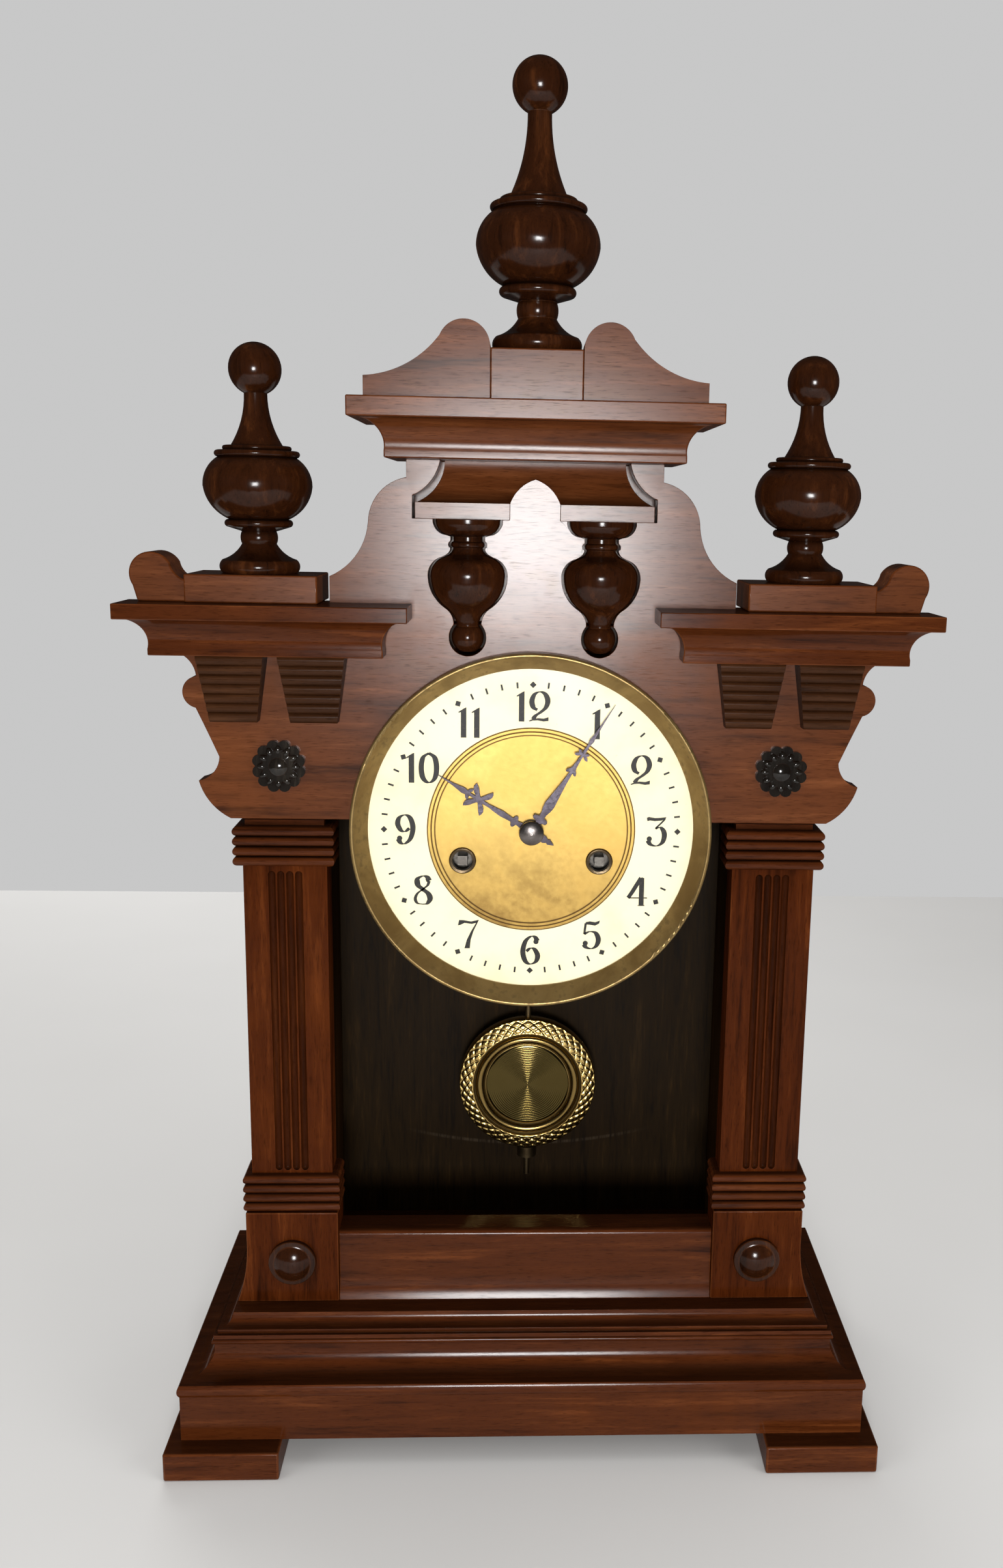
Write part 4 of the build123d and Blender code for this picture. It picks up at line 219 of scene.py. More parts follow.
STAIN = (rgb(0.016, 0.0036, 0.0009), rgb(0.053, 0.0125, 0.0029), rgb(0.108, 0.0290, 0.0072))
EDGE = (rgb(0.028, 0.0070, 0.0019), rgb(0.082, 0.0215, 0.0056), rgb(0.150, 0.0470, 0.0140))
level_wood = polished_wood("level_wood", "X", STAIN, gloss=0.36, blur=0.16, wear=0.25)
level_edge = polished_wood("level_wood_edge", "X", EDGE, gloss=0.36, blur=0.16, wear=0.35)
SHARP_ANGLE = 28
FLAT_ANGLE = 0.3
SAME_POINT = 0.001 * MM
EASED_EDGE = 0.5 * MM


def piece(name, mesh, body, slot, *replaced):
    """A mesh object that moves with a body and may stand for CAD nodes."""
    made = bpy.data.objects.new(name, mesh)
    bpy.context.scene.collection.objects.link(made)
    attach(made, body)
    if replaced:
        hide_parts(*replaced)
    return made


def stand_in(name, mesh, node):
    """A piece in the place of one CAD node, on its body."""
    return piece(name, mesh, BODY_OF[node], SLOT_OF[node], node)


def baked(mesh, *modifiers):
    """The mesh after the given (type, settings) modifiers."""
    holder = bpy.data.objects.new("holder", mesh)
    bpy.context.scene.collection.objects.link(holder)
    for kind, settings in modifiers:
        modifier = holder.modifiers.new(kind.lower(), kind)
        for key, value in settings.items():
            setattr(modifier, key, value)
    view = bpy.context.evaluated_depsgraph_get()
    result = bpy.data.meshes.new_from_object(holder.evaluated_get(view))
    bpy.data.objects.remove(holder)
    return result


def softened(mesh, width):
    """A mesh with its sharp edges rounded into a second material slot and its faces shaded smooth."""
    bevel = {"width": width, "segments": 2, "limit_method": "ANGLE", "angle_limit": radians(SHARP_ANGLE),
             "use_clamp_overlap": True, "miter_outer": "MITER_ARC", "material": 1}
    return baked(mesh, ("BEVEL", bevel), ("WEIGHTED_NORMAL", {"keep_sharp": True, "weight": 50}))


def smooth_faces(shape, angle):
    """Shades faces smooth, with edges above the angle kept sharp."""
    for face in shape.faces:
        face.smooth = True
    for edge in shape.edges:
        edge.smooth = edge.calc_face_angle(0) < radians(angle)


def eased(node, face, edge, width=EASED_EDGE):
    """A smooth copy of a CAD piece with rounded edges, in the piece's place."""
    shape = bmesh.new()
    shape.from_mesh(frame["nodes"][node].data)
    bmesh.ops.remove_doubles(shape, verts=shape.verts, dist=SAME_POINT)
    bmesh.ops.dissolve_limit(shape, angle_limit=radians(FLAT_ANGLE), verts=shape.verts, edges=shape.edges)
    bmesh.ops.connect_verts_concave(shape, faces=shape.faces)
    smooth_faces(shape, SHARP_ANGLE)
    mesh = bpy.data.meshes.new(node + "_eased")
    shape.to_mesh(mesh)
    shape.free()
    mesh.materials.clear()
    mesh.materials.append(face)
    mesh.materials.append(edge)
    mesh.polygons.foreach_set("material_index", [0] * len(mesh.polygons))
    return stand_in(node + "_eased", softened(mesh, width), node)


eased("feet", level_wood, level_edge, width=0.9 * MM)
for board in ("base_plinth", "base_lower_board", "base_upper_board"):
    eased(board, level_wood, level_edge)

# Case: sides, top and backboard
# Plain boards joined into a box under a dark matt stain; the outer face of the back is a paler brown.
# The backboard shows its grain in the open recess, and a faint arc where the pendulum once scratched it.
BACK = (rgb(0.0042, 0.0021, 0.0005), rgb(0.0108, 0.0054, 0.0011), rgb(0.0230, 0.0115, 0.0026))
CASE = (rgb(0.0075, 0.0034, 0.0010), rgb(0.0190, 0.0082, 0.0024), rgb(0.0400, 0.0180, 0.0056))
REAR = (rgb(0.030, 0.0125, 0.0050), rgb(0.074, 0.0330, 0.0135), rgb(0.128, 0.0640, 0.0290))
SCRATCH = rgb(0.10, 0.075, 0.05)
BACK_GRAIN = {"scale": 12, "detail": 5, "rough": 0.65, "distortion": 0.8}
BACK_LINES = {"scale": 70, "detail": 3, "rough": 0.6}
BACK_MIDDLE_TONE = (0.34, 0.52)
BACK_PALE_TONE = (0.52, 0.7)
BACK_RELIEF = 0.2 * MM
ARC_RADIUS = 226 * MM
ARC_HALF_SPAN = 62 * MM
ARC_LINE = (0.3 * MM, 1.1 * MM)
ARC_BREAKS = (0.35, 0.6)
ARC_STRENGTH = 0.22
PIVOT = {joint["name"]: joint["pos_m"] for joint in RECORD["behaviour"]["joints"]}["pendulum_swing"]


def from_axis(finish, x, z):
    """The distance from an axis along Y."""
    away = finish.node("ShaderNodeVectorMath", {"operation": "SUBTRACT"}, {
        0: finish.point((1, 0, 1)), 1: (x, 0, z)})
    return finish.node("ShaderNodeVectorMath", {"operation": "LENGTH"}, {0: away}, "Value")


def scratched_board():
    """Dark matt board with the pendulum's arc on it."""
    finish = Finish("backboard_wood", {
        "Specular IOR Level": 0.06, "Coat Weight": 0.04, "Coat Roughness": 0.35})
    stretched = finish.point((GRAIN_STRETCH, GRAIN_STRETCH, 1))
    lines = finish.noise(stretched, **BACK_LINES)
    tone = finish.noise(stretched, **BACK_GRAIN) * 0.55 + lines * 0.45
    dark, middle, pale = BACK
    colour = finish.mix(finish.step(tone, *BACK_MIDDLE_TONE), dark, middle)
    colour = finish.mix(finish.step(tone, *BACK_PALE_TONE), colour, pale)
    pivot_x, _, pivot_z = PIVOT
    off_line = abs(from_axis(finish, pivot_x, pivot_z) - ARC_RADIUS)
    off_middle = abs(finish.coordinate(finish.point(), "X") - pivot_x)
    in_span = 1 - finish.step(off_middle, ARC_HALF_SPAN / 2, ARC_HALF_SPAN)
    arc = (1 - finish.step(off_line, *ARC_LINE)) * in_span * finish.step(lines, *ARC_BREAKS)
    colour = finish.mix(arc * ARC_STRENGTH, colour, SCRATCH)
    return finish.paint({
        "Base Color": colour, "Roughness": 0.5 + lines * 0.2, "Normal": finish.bump(tone, BACK_RELIEF)})


back_wood = scratched_board()
case_wood = polished_wood("case_wood", "Z", CASE, gloss=0.12, blur=0.35, wear=0.1)
case_edge = polished_wood("case_wood_edge", "Z", STAIN, gloss=0.12, blur=0.35, wear=0.1)
rear_wood = polished_wood("rear_wood", "Z", REAR, gloss=0.06, blur=0.4, wear=0.3)
REARWARD = 0.9
backboard = eased("backboard", back_wood, back_wood, width=0.3 * MM)
backboard.data.materials.append(rear_wood)
for face in backboard.data.polygons:
    if face.normal.y > REARWARD:
        face.material_index = 2
for board in ("case_sides", "case_top"):
    eased(board, case_wood, case_edge)

# Pilasters and lower rail
# Each pilaster is a block with a dark turned button, a reeded base, a fluted shaft and a reeded capital.
# They are of polished wood, glued on, with the grain up the shafts and along the reeds and the coved rail.
UPRIGHT = (rgb(0.013, 0.0028, 0.0006), rgb(0.046, 0.0095, 0.0018), rgb(0.104, 0.0255, 0.0054))
TURNED = (rgb(0.0070, 0.0021, 0.0008), rgb(0.0215, 0.0060, 0.0018), rgb(0.0560, 0.0165, 0.0044))
TURNED_EDGE = (rgb(0.0115, 0.0035, 0.0013), rgb(0.0340, 0.0100, 0.0030), rgb(0.0760, 0.0240, 0.0070))
upright_wood = polished_wood("upright_wood", "Z", UPRIGHT, gloss=0.1, blur=0.2, wear=0.25)
upright_edge = polished_wood("upright_wood_edge", "Z", EDGE, gloss=0.1, blur=0.2, wear=0.35)
turned_wood = polished_wood("turned_wood", "Z", TURNED, gloss=0.55, blur=0.16, wear=0.15)
turned_edge = polished_wood("turned_wood_edge", "Z", TURNED_EDGE, gloss=0.55, blur=0.16, wear=0.2)
for upright in ("pilaster_plinths", "pilaster_shafts"):
    eased(upright, upright_wood, upright_edge, width=0.45 * MM)
eased("pilaster_mouldings", level_wood, level_edge, width=0.35 * MM)
COVE_DEPTH = 2.6 * MM
COVE_HEIGHT = 11 * MM
RAIL_ROUND = 2.5 * MM
RAIL_EDGE = 0.3 * MM
RAIL_STEPS = 10


def prism(shape, outline, place, front, back):
    """Adds a closed flat solid with the given outline to a bmesh; place puts a point at a depth."""
    near = [shape.verts.new(place(point, front)) for point in outline]
    far = [shape.verts.new(place(point, back)) for point in outline]
    shape.faces.new(near)
    shape.faces.new(far[::-1])
    for i in range(len(outline)):
        j = (i + 1) % len(outline)
        shape.faces.new((near[j], near[i], far[i], far[j]))


def closed_mesh(name, shape, *materials):
    """A mesh of a finished bmesh, faces outward."""
    bmesh.ops.recalc_face_normals(shape, faces=shape.faces)
    mesh = bpy.data.meshes.new(name)
    shape.to_mesh(mesh)
    shape.free()
    for material in materials:
        mesh.materials.append(material)
    return mesh


def coved_rail():
    """The rail between the blocks, which sweeps forward at its foot and has a rounded top edge."""
    low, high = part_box("lower_rail")
    face_y = low.y + COVE_DEPTH
    shares = [i / RAIL_STEPS for i in range(RAIL_STEPS + 1)]
    sweep = [(face_y - COVE_DEPTH * (1 - share) ** 2, low.z + COVE_HEIGHT * share) for share in shares]
    turns = [pi / 2 * share for share in shares]
    crown = [(face_y + RAIL_ROUND * (1 - cos(turn)), high.z - RAIL_ROUND * (1 - sin(turn)))
             for turn in turns]
    outline = [*sweep, *crown, (high.y, high.z), (high.y, low.z)]
    shape = bmesh.new()
    prism(shape, outline, lambda point, x: (x, *point), low.x, high.x)
    smooth_faces(shape, SHARP_ANGLE)
    return closed_mesh("lower_rail_coved", shape, level_wood, level_edge)


stand_in("lower_rail_coved", softened(coved_rail(), RAIL_EDGE), "lower_rail")
eased("plinth_buttons", turned_wood, turned_edge, width=0.35 * MM)

# Front board, crest and turned drops
# A fret-cut board of polished wood with the dial opening and a pierced crest, glued to the case's front.
# A coved moulding on a block fills the crest, split by the board's tongue, with a turned drop at each end.
BOARD = (rgb(0.028, 0.0074, 0.0021), rgb(0.086, 0.0240, 0.0068), rgb(0.152, 0.0480, 0.0148))
board_wood = polished_wood("board_wood", "X", BOARD, gloss=0.62, blur=0.21, wear=0.4)
cove_wood = polished_wood("cove_wood", "X", BOARD, gloss=0.5, blur=0.22, wear=0.3, crevice_shade=0.35)
eased("front_board", board_wood, level_edge)
for crest in ("crest_moulding", "crest_block"):
    eased(crest, cove_wood, level_edge, width=0.4 * MM)
eased("pendants", turned_wood, turned_edge, width=0.3 * MM)

# Side cornices, reeded brackets and rosettes
# Coved cornices on four tapering brackets of half-round reeds, all glued to the board's face.
# Each rosette is a dark carved flower with a ring of rounded petals and a domed boss.
REED = (rgb(0.010, 0.0034, 0.0011), rgb(0.030, 0.0105, 0.0035), rgb(0.066, 0.0250, 0.0095))
BLACK = (rgb(0.0040, 0.0030, 0.0023), rgb(0.0085, 0.0066, 0.0050), rgb(0.0230, 0.0180, 0.0130))
reed_wood = polished_wood("reed_wood", "X", REED, gloss=0.3, blur=0.2, wear=0.25)
black_wood = polished_wood("black_wood", "Z", BLACK, gloss=1.0, blur=0.14, wear=0.15)
eased("side_cornices", level_wood, level_edge, width=0.4 * MM)
eased("reed_brackets", reed_wood, level_edge, width=0.4 * MM)
eased("rosettes", black_wood, turned_edge, width=0.25 * MM)
ROSETTE_BEADS = 12
BEAD_CIRCLE = 6.6 * MM
BEAD_SIZE = (1.9 * MM, 1.25 * MM, 1.1 * MM)
BEAD_DEPTH = 2.6 * MM
SAME_INDEX = 0.1
RING_INPUTS = {
    "Count": "NodeSocketInt", "Radius": "NodeSocketFloat", "Stretch": "NodeSocketVector",
    "Every": "NodeSocketInt", "Kept": "NodeSocketInt", "Dropped": "NodeSocketInt",
    "Centre": "NodeSocketVector", "Material": "NodeSocketMaterial"}


def ring_group(name, shape_kind, shape_sockets):
    """A node group that sets copies of one small shape round an upright ring.

    In each run of Every places it fills the place Kept, or all if that is -1, and never the place Dropped.
    """
    tree = bpy.data.node_groups.new(name, "GeometryNodeTree")
    for label, kind in RING_INPUTS.items():
        tree.interface.new_socket(label, in_out="INPUT", socket_type=kind)
    tree.interface.new_socket("Geometry", in_out="OUTPUT", socket_type="NodeSocketGeometry")
    graph = Graph(tree)
    source = tree.nodes.new("NodeGroupInput")
    given = {label: Value(graph, source.outputs[label]) for label in RING_INPUTS}
    circle = graph.node("GeometryNodeMeshCircle", {}, {"Vertices": given["Count"], "Radius": given["Radius"]})
    shape = graph.node(shape_kind, {}, shape_sockets, "Mesh")
    outward = graph.node("FunctionNodeAlignRotationToVector", {"axis": "X"}, {
        "Vector": graph.node("GeometryNodeInputPosition", {}, {})})
    place = graph.node("GeometryNodeInputIndex", {}, {}) % given["Every"]
    wanted = place.math("COMPARE", place, given["Kept"], SAME_INDEX)
    unwanted = place.math("COMPARE", place, given["Dropped"], SAME_INDEX)
    chosen = place.math("MAXIMUM", wanted, given["Kept"] * -1) - unwanted
    copies = graph.node("GeometryNodeInstanceOnPoints", {}, {
        "Points": circle, "Selection": chosen, "Instance": shape, "Rotation": outward,
        "Scale": given["Stretch"]})
    upright = graph.node("GeometryNodeTransform", {}, {
        "Geometry": copies, "Translation": given["Centre"], "Rotation": (pi / 2, 0, 0)})
    solid = graph.node("GeometryNodeRealizeInstances", {}, {"Geometry": upright})
    painted = graph.node("GeometryNodeSetMaterial", {}, {"Geometry": solid, "Material": given["Material"]})
    graph.fill(tree.nodes.new("NodeGroupOutput"), {"Geometry": painted})
    return tree


def ring_mesh(name, group, values, smooth):
    """The mesh that a ring group makes from the named values."""
    holder = bpy.data.objects.new(name, bpy.data.meshes.new(name + "_points"))
    bpy.context.scene.collection.objects.link(holder)
    modifier = holder.modifiers.new("ring", "NODES")
    modifier.node_group = group
    for item in group.interface.items_tree:
        if item.in_out == "INPUT":
            modifier[item.identifier] = values[item.name]
    bpy.context.view_layer.update()
    view = bpy.context.evaluated_depsgraph_get()
    mesh = bpy.data.meshes.new_from_object(holder.evaluated_get(view))
    bpy.data.objects.remove(holder)
    mesh.polygons.foreach_set("use_smooth", [smooth] * len(mesh.polygons))
    return mesh


bead_ring = ring_group("bead_ring", "GeometryNodeMeshUVSphere", {"Segments": 16, "Rings": 10, "Radius": 1})
rosette_low, rosette_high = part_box("rosettes")
rosette_x = rosette_high.x - (rosette_high.z - rosette_low.z) / 2
rosette_z = (rosette_low.z + rosette_high.z) / 2
for side, name in ((-1, "rosette_beads_left"), (1, "rosette_beads_right")):
    mesh = ring_mesh(name, bead_ring, {
        "Count": ROSETTE_BEADS, "Radius": BEAD_CIRCLE, "Stretch": BEAD_SIZE,
        "Every": 1, "Kept": 0, "Dropped": -1, "Material": black_wood,
        "Centre": (side * rosette_x, rosette_high.y - BEAD_DEPTH, rosette_z)}, smooth=True)
    piece(name, mesh, "case", "turned_dark_wood")

# Finials and the blocks under them
# Dark turned finials stand on stained blocks, with a scroll-cut ear glued outside each side block.
# The upper sides of their bulbs and discs are painted darker as shade, like every upward face of the polished
# wood.
eased("finial_blocks", board_wood, level_edge, width=0.6 * MM)
eased("scroll_ears", cove_wood, level_edge, width=0.6 * MM)
for turned in ("side_finials", "top_finial"):
    eased(turned, turned_wood, turned_edge, width=0.35 * MM)

# Crown cornice and pediment scrolls
# A coved cornice of the front board's wood, a little duller, is glued on top of the crest.
# Two scroll-cut boards stand on it and rise to the block of the top finial.
crown_wood = polished_wood("crown_wood", "X", BOARD, gloss=0.5, blur=0.21, wear=0.3)
for level in ("crown_cornice", "pediment_scrolls"):
    eased(level, crown_wood, level_edge)

# Dial: pan, chapter ring, centre disc, figures and bezel
# A cream-painted ring round a patinated brass centre, framed by an aged brass bezel pressed on the board.
# The figures and minute marks are printed in thick black paint.
TARNISH = {"detail": 5, "rough": 0.62, "distortion": 0.4}
FINE_WEAR = {"detail": 3, "rough": 0.6}
WEAR_SCALE = 9
BRIGHT_METAL = (0.36, 0.64)
STAINED_METAL = (0.52, 0.64)
METAL_RELIEF = 0.06 * MM


def aged_metal(name, bright, middle, stained, rough, spots, scale, bare=1.0):
    """Metal with a clouded tone, stains and fine wear in its gloss; bare is its share without a dull film."""
    finish = Finish(name, {"Metallic": bare, "Specular IOR Level": 0.3})
    clouds = finish.noise(finish.point(), scale, **TARNISH)
    fine = finish.noise(finish.point(), scale * WEAR_SCALE, **FINE_WEAR)
    colour = finish.mix(finish.step(clouds, *BRIGHT_METAL), middle, bright)
    stain = finish.step(clouds * 0.5 + fine * 0.5, *STAINED_METAL) * spots
    colour = finish.mix(stain, colour, stained)
    return finish.paint({
        "Base Color": colour, "Roughness": rough + stain * 0.25 + fine * 0.12,
        "Normal": finish.bump(fine + clouds * 0.4, METAL_RELIEF)})


bezel_brass = aged_metal(
    "bezel_brass", rgb(0.28, 0.19, 0.073), rgb(0.185, 0.118, 0.042), rgb(0.065, 0.04, 0.017),
    rough=0.26, spots=0.45, scale=40, bare=0.7)
bezel_edge = aged_metal(
    "bezel_edge", rgb(0.70, 0.52, 0.24), rgb(0.56, 0.40, 0.17), rgb(0.28, 0.185, 0.08),
    rough=0.22, spots=0.3, scale=60, bare=0.7)
grommet_bronze = aged_metal(
    "grommet_bronze", rgb(0.15, 0.11, 0.065), rgb(0.09, 0.065, 0.04), rgb(0.03, 0.022, 0.015),
    rough=0.26, spots=0.35, scale=120)
ring_low, ring_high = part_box("chapter_ring")
DIAL_X = (ring_low.x + ring_high.x) / 2
DIAL_Z = (ring_low.z + ring_high.z) / 2
DIAL_FACE_Y = ring_low.y
GILT = rgb(0.54, 0.345, 0.090)
BRIGHT_GILT = rgb(0.63, 0.44, 0.130)
BROWNED_GILT = rgb(0.26, 0.150, 0.040)
GROOVE_DIRT = rgb(0.13, 0.068, 0.022)
GILT_CLOUDS = {"scale": 26, "detail": 5, "rough": 0.6, "distortion": 0.5}
GILT_WEAR = {"scale": 420, "detail": 3, "rough": 0.6}
BROWNED = (-44 * MM, 14 * MM)
RING_LINES = (42.0 * MM, 40.47 * MM, 39.0 * MM)
GROOVE_WIDTH = (0.14 * MM, 0.42 * MM)
GILT_RELIEF = 0.05 * MM


def gilt_centre():
    """Golden brass, clouded and browner towards the bottom, with dirt beside its two raised rings."""
    finish = Finish("centre_brass", {"Metallic": 0.6, "Specular IOR Level": 0.2})
    clouds = finish.noise(finish.point(), **GILT_CLOUDS)
    fine = finish.noise(finish.point(), **GILT_WEAR)
    height = finish.coordinate(finish.point(), "Z") - DIAL_Z
    # Browner towards the bottom, and brown in clouded patches
    low_down = 1 - finish.step(height, *BROWNED)
    colour = finish.mix(finish.step(clouds, 0.35, 0.65), GILT, BRIGHT_GILT)
    stain = low_down * 0.4 + finish.step(clouds * 0.85 + fine * 0.15, 0.42, 0.66) * (0.15 + low_down * 0.5)
    colour = finish.mix(stain, colour, BROWNED_GILT)
    reach = from_axis(finish, DIAL_X, DIAL_Z)
    dirt = sum(1 - finish.step(abs(reach - line), *GROOVE_WIDTH) for line in RING_LINES)
    colour = finish.mix(dirt * 0.85, colour, GROOVE_DIRT)
    return finish.paint({
        "Base Color": colour, "Roughness": 0.44 + stain * 0.15 + fine * 0.1 + dirt * 0.15,
        "Normal": finish.bump(fine + clouds * 0.4, GILT_RELIEF)})


CREAM = rgb(0.85, 0.77, 0.50)
YELLOWED_CREAM = rgb(0.75, 0.64, 0.37)
SPECKLE = rgb(0.42, 0.33, 0.2)
YELLOWING = {"scale": 34, "detail": 4, "rough": 0.6}
SPECKLES = {"scale": 900, "detail": 2, "rough": 0.6}
CREAM_RELIEF = 0.03 * MM


def cream_paint():
    """Old cream paint with faint yellowing and speckles."""
    finish = Finish("dial_cream", {"Specular IOR Level": 0.4, "Coat Roughness": 0.2, "Coat Weight": 0.2})
    clouds = finish.noise(finish.point(), **YELLOWING)
    speckle = finish.noise(finish.point(), **SPECKLES)
    colour = finish.mix(finish.step(clouds, 0.4, 0.75) * 0.7, CREAM, YELLOWED_CREAM)
    colour = finish.mix(finish.step(speckle, 0.68, 0.76) * 0.35, colour, SPECKLE)
    return finish.paint({
        "Base Color": colour, "Roughness": 0.42 + clouds * 0.12,
        "Normal": finish.bump(speckle, CREAM_RELIEF)})


INK = rgb(0.008, 0.007, 0.006)
RUBBED_INK = rgb(0.045, 0.038, 0.03)
INK_WEAR = {"scale": 700, "detail": 3, "rough": 0.6}


def black_paint():
    """Black printing paint, slightly rubbed."""
    finish = Finish("figure_black", {"Specular IOR Level": 0.35})
    worn = finish.noise(finish.point(), **INK_WEAR)
    colour = finish.mix(finish.step(worn, 0.5, 0.8), INK, RUBBED_INK)
    return finish.paint({"Base Color": colour, "Roughness": 0.42 + worn * 0.2})


centre_brass = gilt_centre()
cream = cream_paint()
black = black_paint()
eased("dial_pan", bezel_brass, bezel_edge, width=0.1 * MM)
eased("chapter_ring", cream, cream, width=0.12 * MM)
eased("dial_centre", centre_brass, centre_brass, width=0.12 * MM)
eased("winding_grommets", grommet_bronze, grommet_bronze, width=0.15 * MM)
eased("bezel", bezel_brass, bezel_edge, width=0.3 * MM)

HOURS = 12
PAINT = 0.08 * MM
WEDGE_PAINT = 1.05 * PAINT
FIGURE_HEIGHT = 12.2 * MM
FIGURE_CIRCLE = 50.7 * MM
FIGURE_GAP = 0.13
HAIRLINE = 0.016
STEM = 0.088
BALL = 0.088
NIB_ANGLE = radians(6)
NIB_SWELL = 1.4
PEN_STEPS = 7

# Figures in a box one high: width, pen strokes with their weight, round ends and cut wedges
FIGURES = {
    "0": (0.66, [
        (1, [(0.33, 0.99), (0.14, 0.84), (0.08, 0.5), (0.14, 0.16), (0.33, 0.01),
             (0.52, 0.16), (0.58, 0.5), (0.52, 0.84), (0.33, 0.99)])], [], []),
    "1": (0.3, [], [], [
        [(0.1, 0), (0.28, 0), (0.28, 1), (0.21, 0.97), (0.02, 0.85), (0.03, 0.815), (0.1, 0.84)]]),
    "2": (0.68, [
        (1, [(0.27, 0.39), (0.14, 0.48), (0.09, 0.68), (0.18, 0.9), (0.36, 0.985), (0.53, 0.9), (0.61, 0.69),
             (0.55, 0.48), (0.4, 0.33), (0.22, 0.2), (0.13, 0.07)])], [], [
        [(0.02, 0), (0, 0.03), (0.12, 0.09), (0.3, 0.12), (0.48, 0.105), (0.64, 0.155), (0.64, 0.03),
         (0.48, 0.01), (0.28, 0.045), (0.12, 0.035)]]),
    "3": (0.7, [
        (0.5, [(0.64, 0.94), (0.54, 0.82), (0.42, 0.7), (0.33, 0.6)]),
        (1, [(0.33, 0.6), (0.48, 0.64), (0.6, 0.52), (0.63, 0.33), (0.56, 0.12), (0.38, 0.01), (0.18, 0.06),
             (0.08, 0.2)])], [(0.13, 0.25)], [
        [(0.05, 0.86), (0.03, 0.97), (0.1, 1), (0.3, 0.965), (0.5, 0.975), (0.68, 1), (0.66, 0.94),
         (0.52, 0.88), (0.3, 0.86), (0.14, 0.88)]]),
    "4": (0.68, [
        (1, [(0.44, 0.98), (0.3, 0.74), (0.15, 0.48), (0.02, 0.28)]),
        (1, [(0.02, 0.28), (0.2, 0.28), (0.42, 0.28), (0.66, 0.28)]),
        (0.6, [(0.34, 0.015), (0.42, 0.02), (0.5, 0.02), (0.58, 0.015)])], [], [
        [(0.38, 0), (0.55, 0), (0.55, 0.97), (0.46, 1), (0.38, 0.88)]]),
    "5": (0.66, [
        (0.45, [(0.12, 0.9), (0.11, 0.78), (0.095, 0.66), (0.08, 0.52)]),
        (1, [(0.08, 0.52), (0.26, 0.61), (0.46, 0.56), (0.56, 0.34), (0.5, 0.12), (0.34, 0.01), (0.16, 0.05),
             (0.07, 0.16)])], [(0.12, 0.2)], [
        [(0.11, 0.86), (0.12, 0.94), (0.26, 0.97), (0.44, 0.94), (0.6, 1), (0.58, 0.9), (0.44, 0.82),
         (0.26, 0.85)]]),
    "6": (0.68, [
        (1, [(0.59, 0.82), (0.5, 0.96), (0.36, 0.98), (0.18, 0.8), (0.1, 0.45), (0.18, 0.13), (0.35, 0.01),
             (0.54, 0.1), (0.6, 0.31), (0.5, 0.52), (0.36, 0.57), (0.22, 0.46)])], [(0.54, 0.8)], []),
    "7": (0.7, [], [], [
        [(0, 0.8), (0.04, 0.99), (0.2, 0.985), (0.44, 0.94), (0.7, 1), (0.64, 0.9), (0.46, 0.855),
         (0.22, 0.89), (0.08, 0.82)],
        [(0.7, 0.99), (0.52, 0.6), (0.43, 0.3), (0.4, 0), (0.22, 0), (0.3, 0.3), (0.44, 0.6), (0.63, 0.93)]]),
    "8": (0.64, [
        (1.1, [(0.53, 0.82), (0.46, 0.95), (0.32, 0.985), (0.15, 0.88), (0.16, 0.68), (0.32, 0.53),
               (0.5, 0.38), (0.56, 0.2), (0.46, 0.04), (0.32, 0.01)]),
        (0.62, [(0.32, 0.01), (0.14, 0.05), (0.07, 0.2), (0.14, 0.38), (0.32, 0.53), (0.48, 0.67),
                (0.53, 0.82)])], [], []),
}
six_width, six_strokes, six_balls, six_wedges = FIGURES["6"]


def upside_down(points):
    """Points of the six turned half round in its box."""
    return [(six_width - x, 1 - y) for x, y in points]


FIGURES["9"] = (
    six_width, [(weight, upside_down(path)) for weight, path in six_strokes],
    upside_down(six_balls), six_wedges)


def pen_path(points):
    """A smooth path through points, each span shaped by the points on either side of it."""
    spans = [points[0], *points, points[-1]]
    path = []
    for a, b, c, d in zip(spans, spans[1:], spans[2:], spans[3:]):
        for i in range(PEN_STEPS):
            t = i / PEN_STEPS
            path.append(tuple(
                0.5 * (2 * q + (r - p) * t + (2 * p - 5 * q + 4 * r - s) * t * t
                       + (3 * q - p - 3 * r + s) * t ** 3)
                for p, q, r, s in zip(a, b, c, d)))
    return path + [points[-1]]


def ribbon(shape, edges, place, front, back):
    """Adds a closed strip between two edge lines, given as pairs of points, to a bmesh."""
    rows = []
    for left, right in edges:
        corners = ((left, front), (right, front), (right, back), (left, back))
        rows.append([shape.verts.new(place(point, depth)) for point, depth in corners])
    shape.faces.new(rows[0])
    shape.faces.new(rows[-1][::-1])
    for first, second in zip(rows, rows[1:]):
        for i in range(4):
            j = (i + 1) % 4
            shape.faces.new((first[j], first[i], second[i], second[j]))


def pen_edges(stroke, weight):
    """Pairs of points on both sides of a pen stroke, which is thick where it runs down and thin across."""
    path = pen_path(stroke)
    edges = []
    for i, (x, y) in enumerate(path):
        before = path[max(i - 1, 0)]
        after = path[min(i + 1, len(path) - 1)]
        dx = after[0] - before[0]
        dy = after[1] - before[1]
        length = hypot(dx, dy) or 1
        across_nib = abs(dy * cos(NIB_ANGLE) - dx * sin(NIB_ANGLE)) / length
        half = (HAIRLINE + (STEM - HAIRLINE) * across_nib ** NIB_SWELL) * weight
        side_x = -dy / length * half
        side_y = dx / length * half
        edges.append(((x + side_x, y + side_y), (x - side_x, y - side_y)))
    return edges


def disc_points(x, y, radius, count=16):
    turns = [2 * pi * i / count for i in range(count)]
    return [(x + radius * cos(turn), y + radius * sin(turn)) for turn in turns]


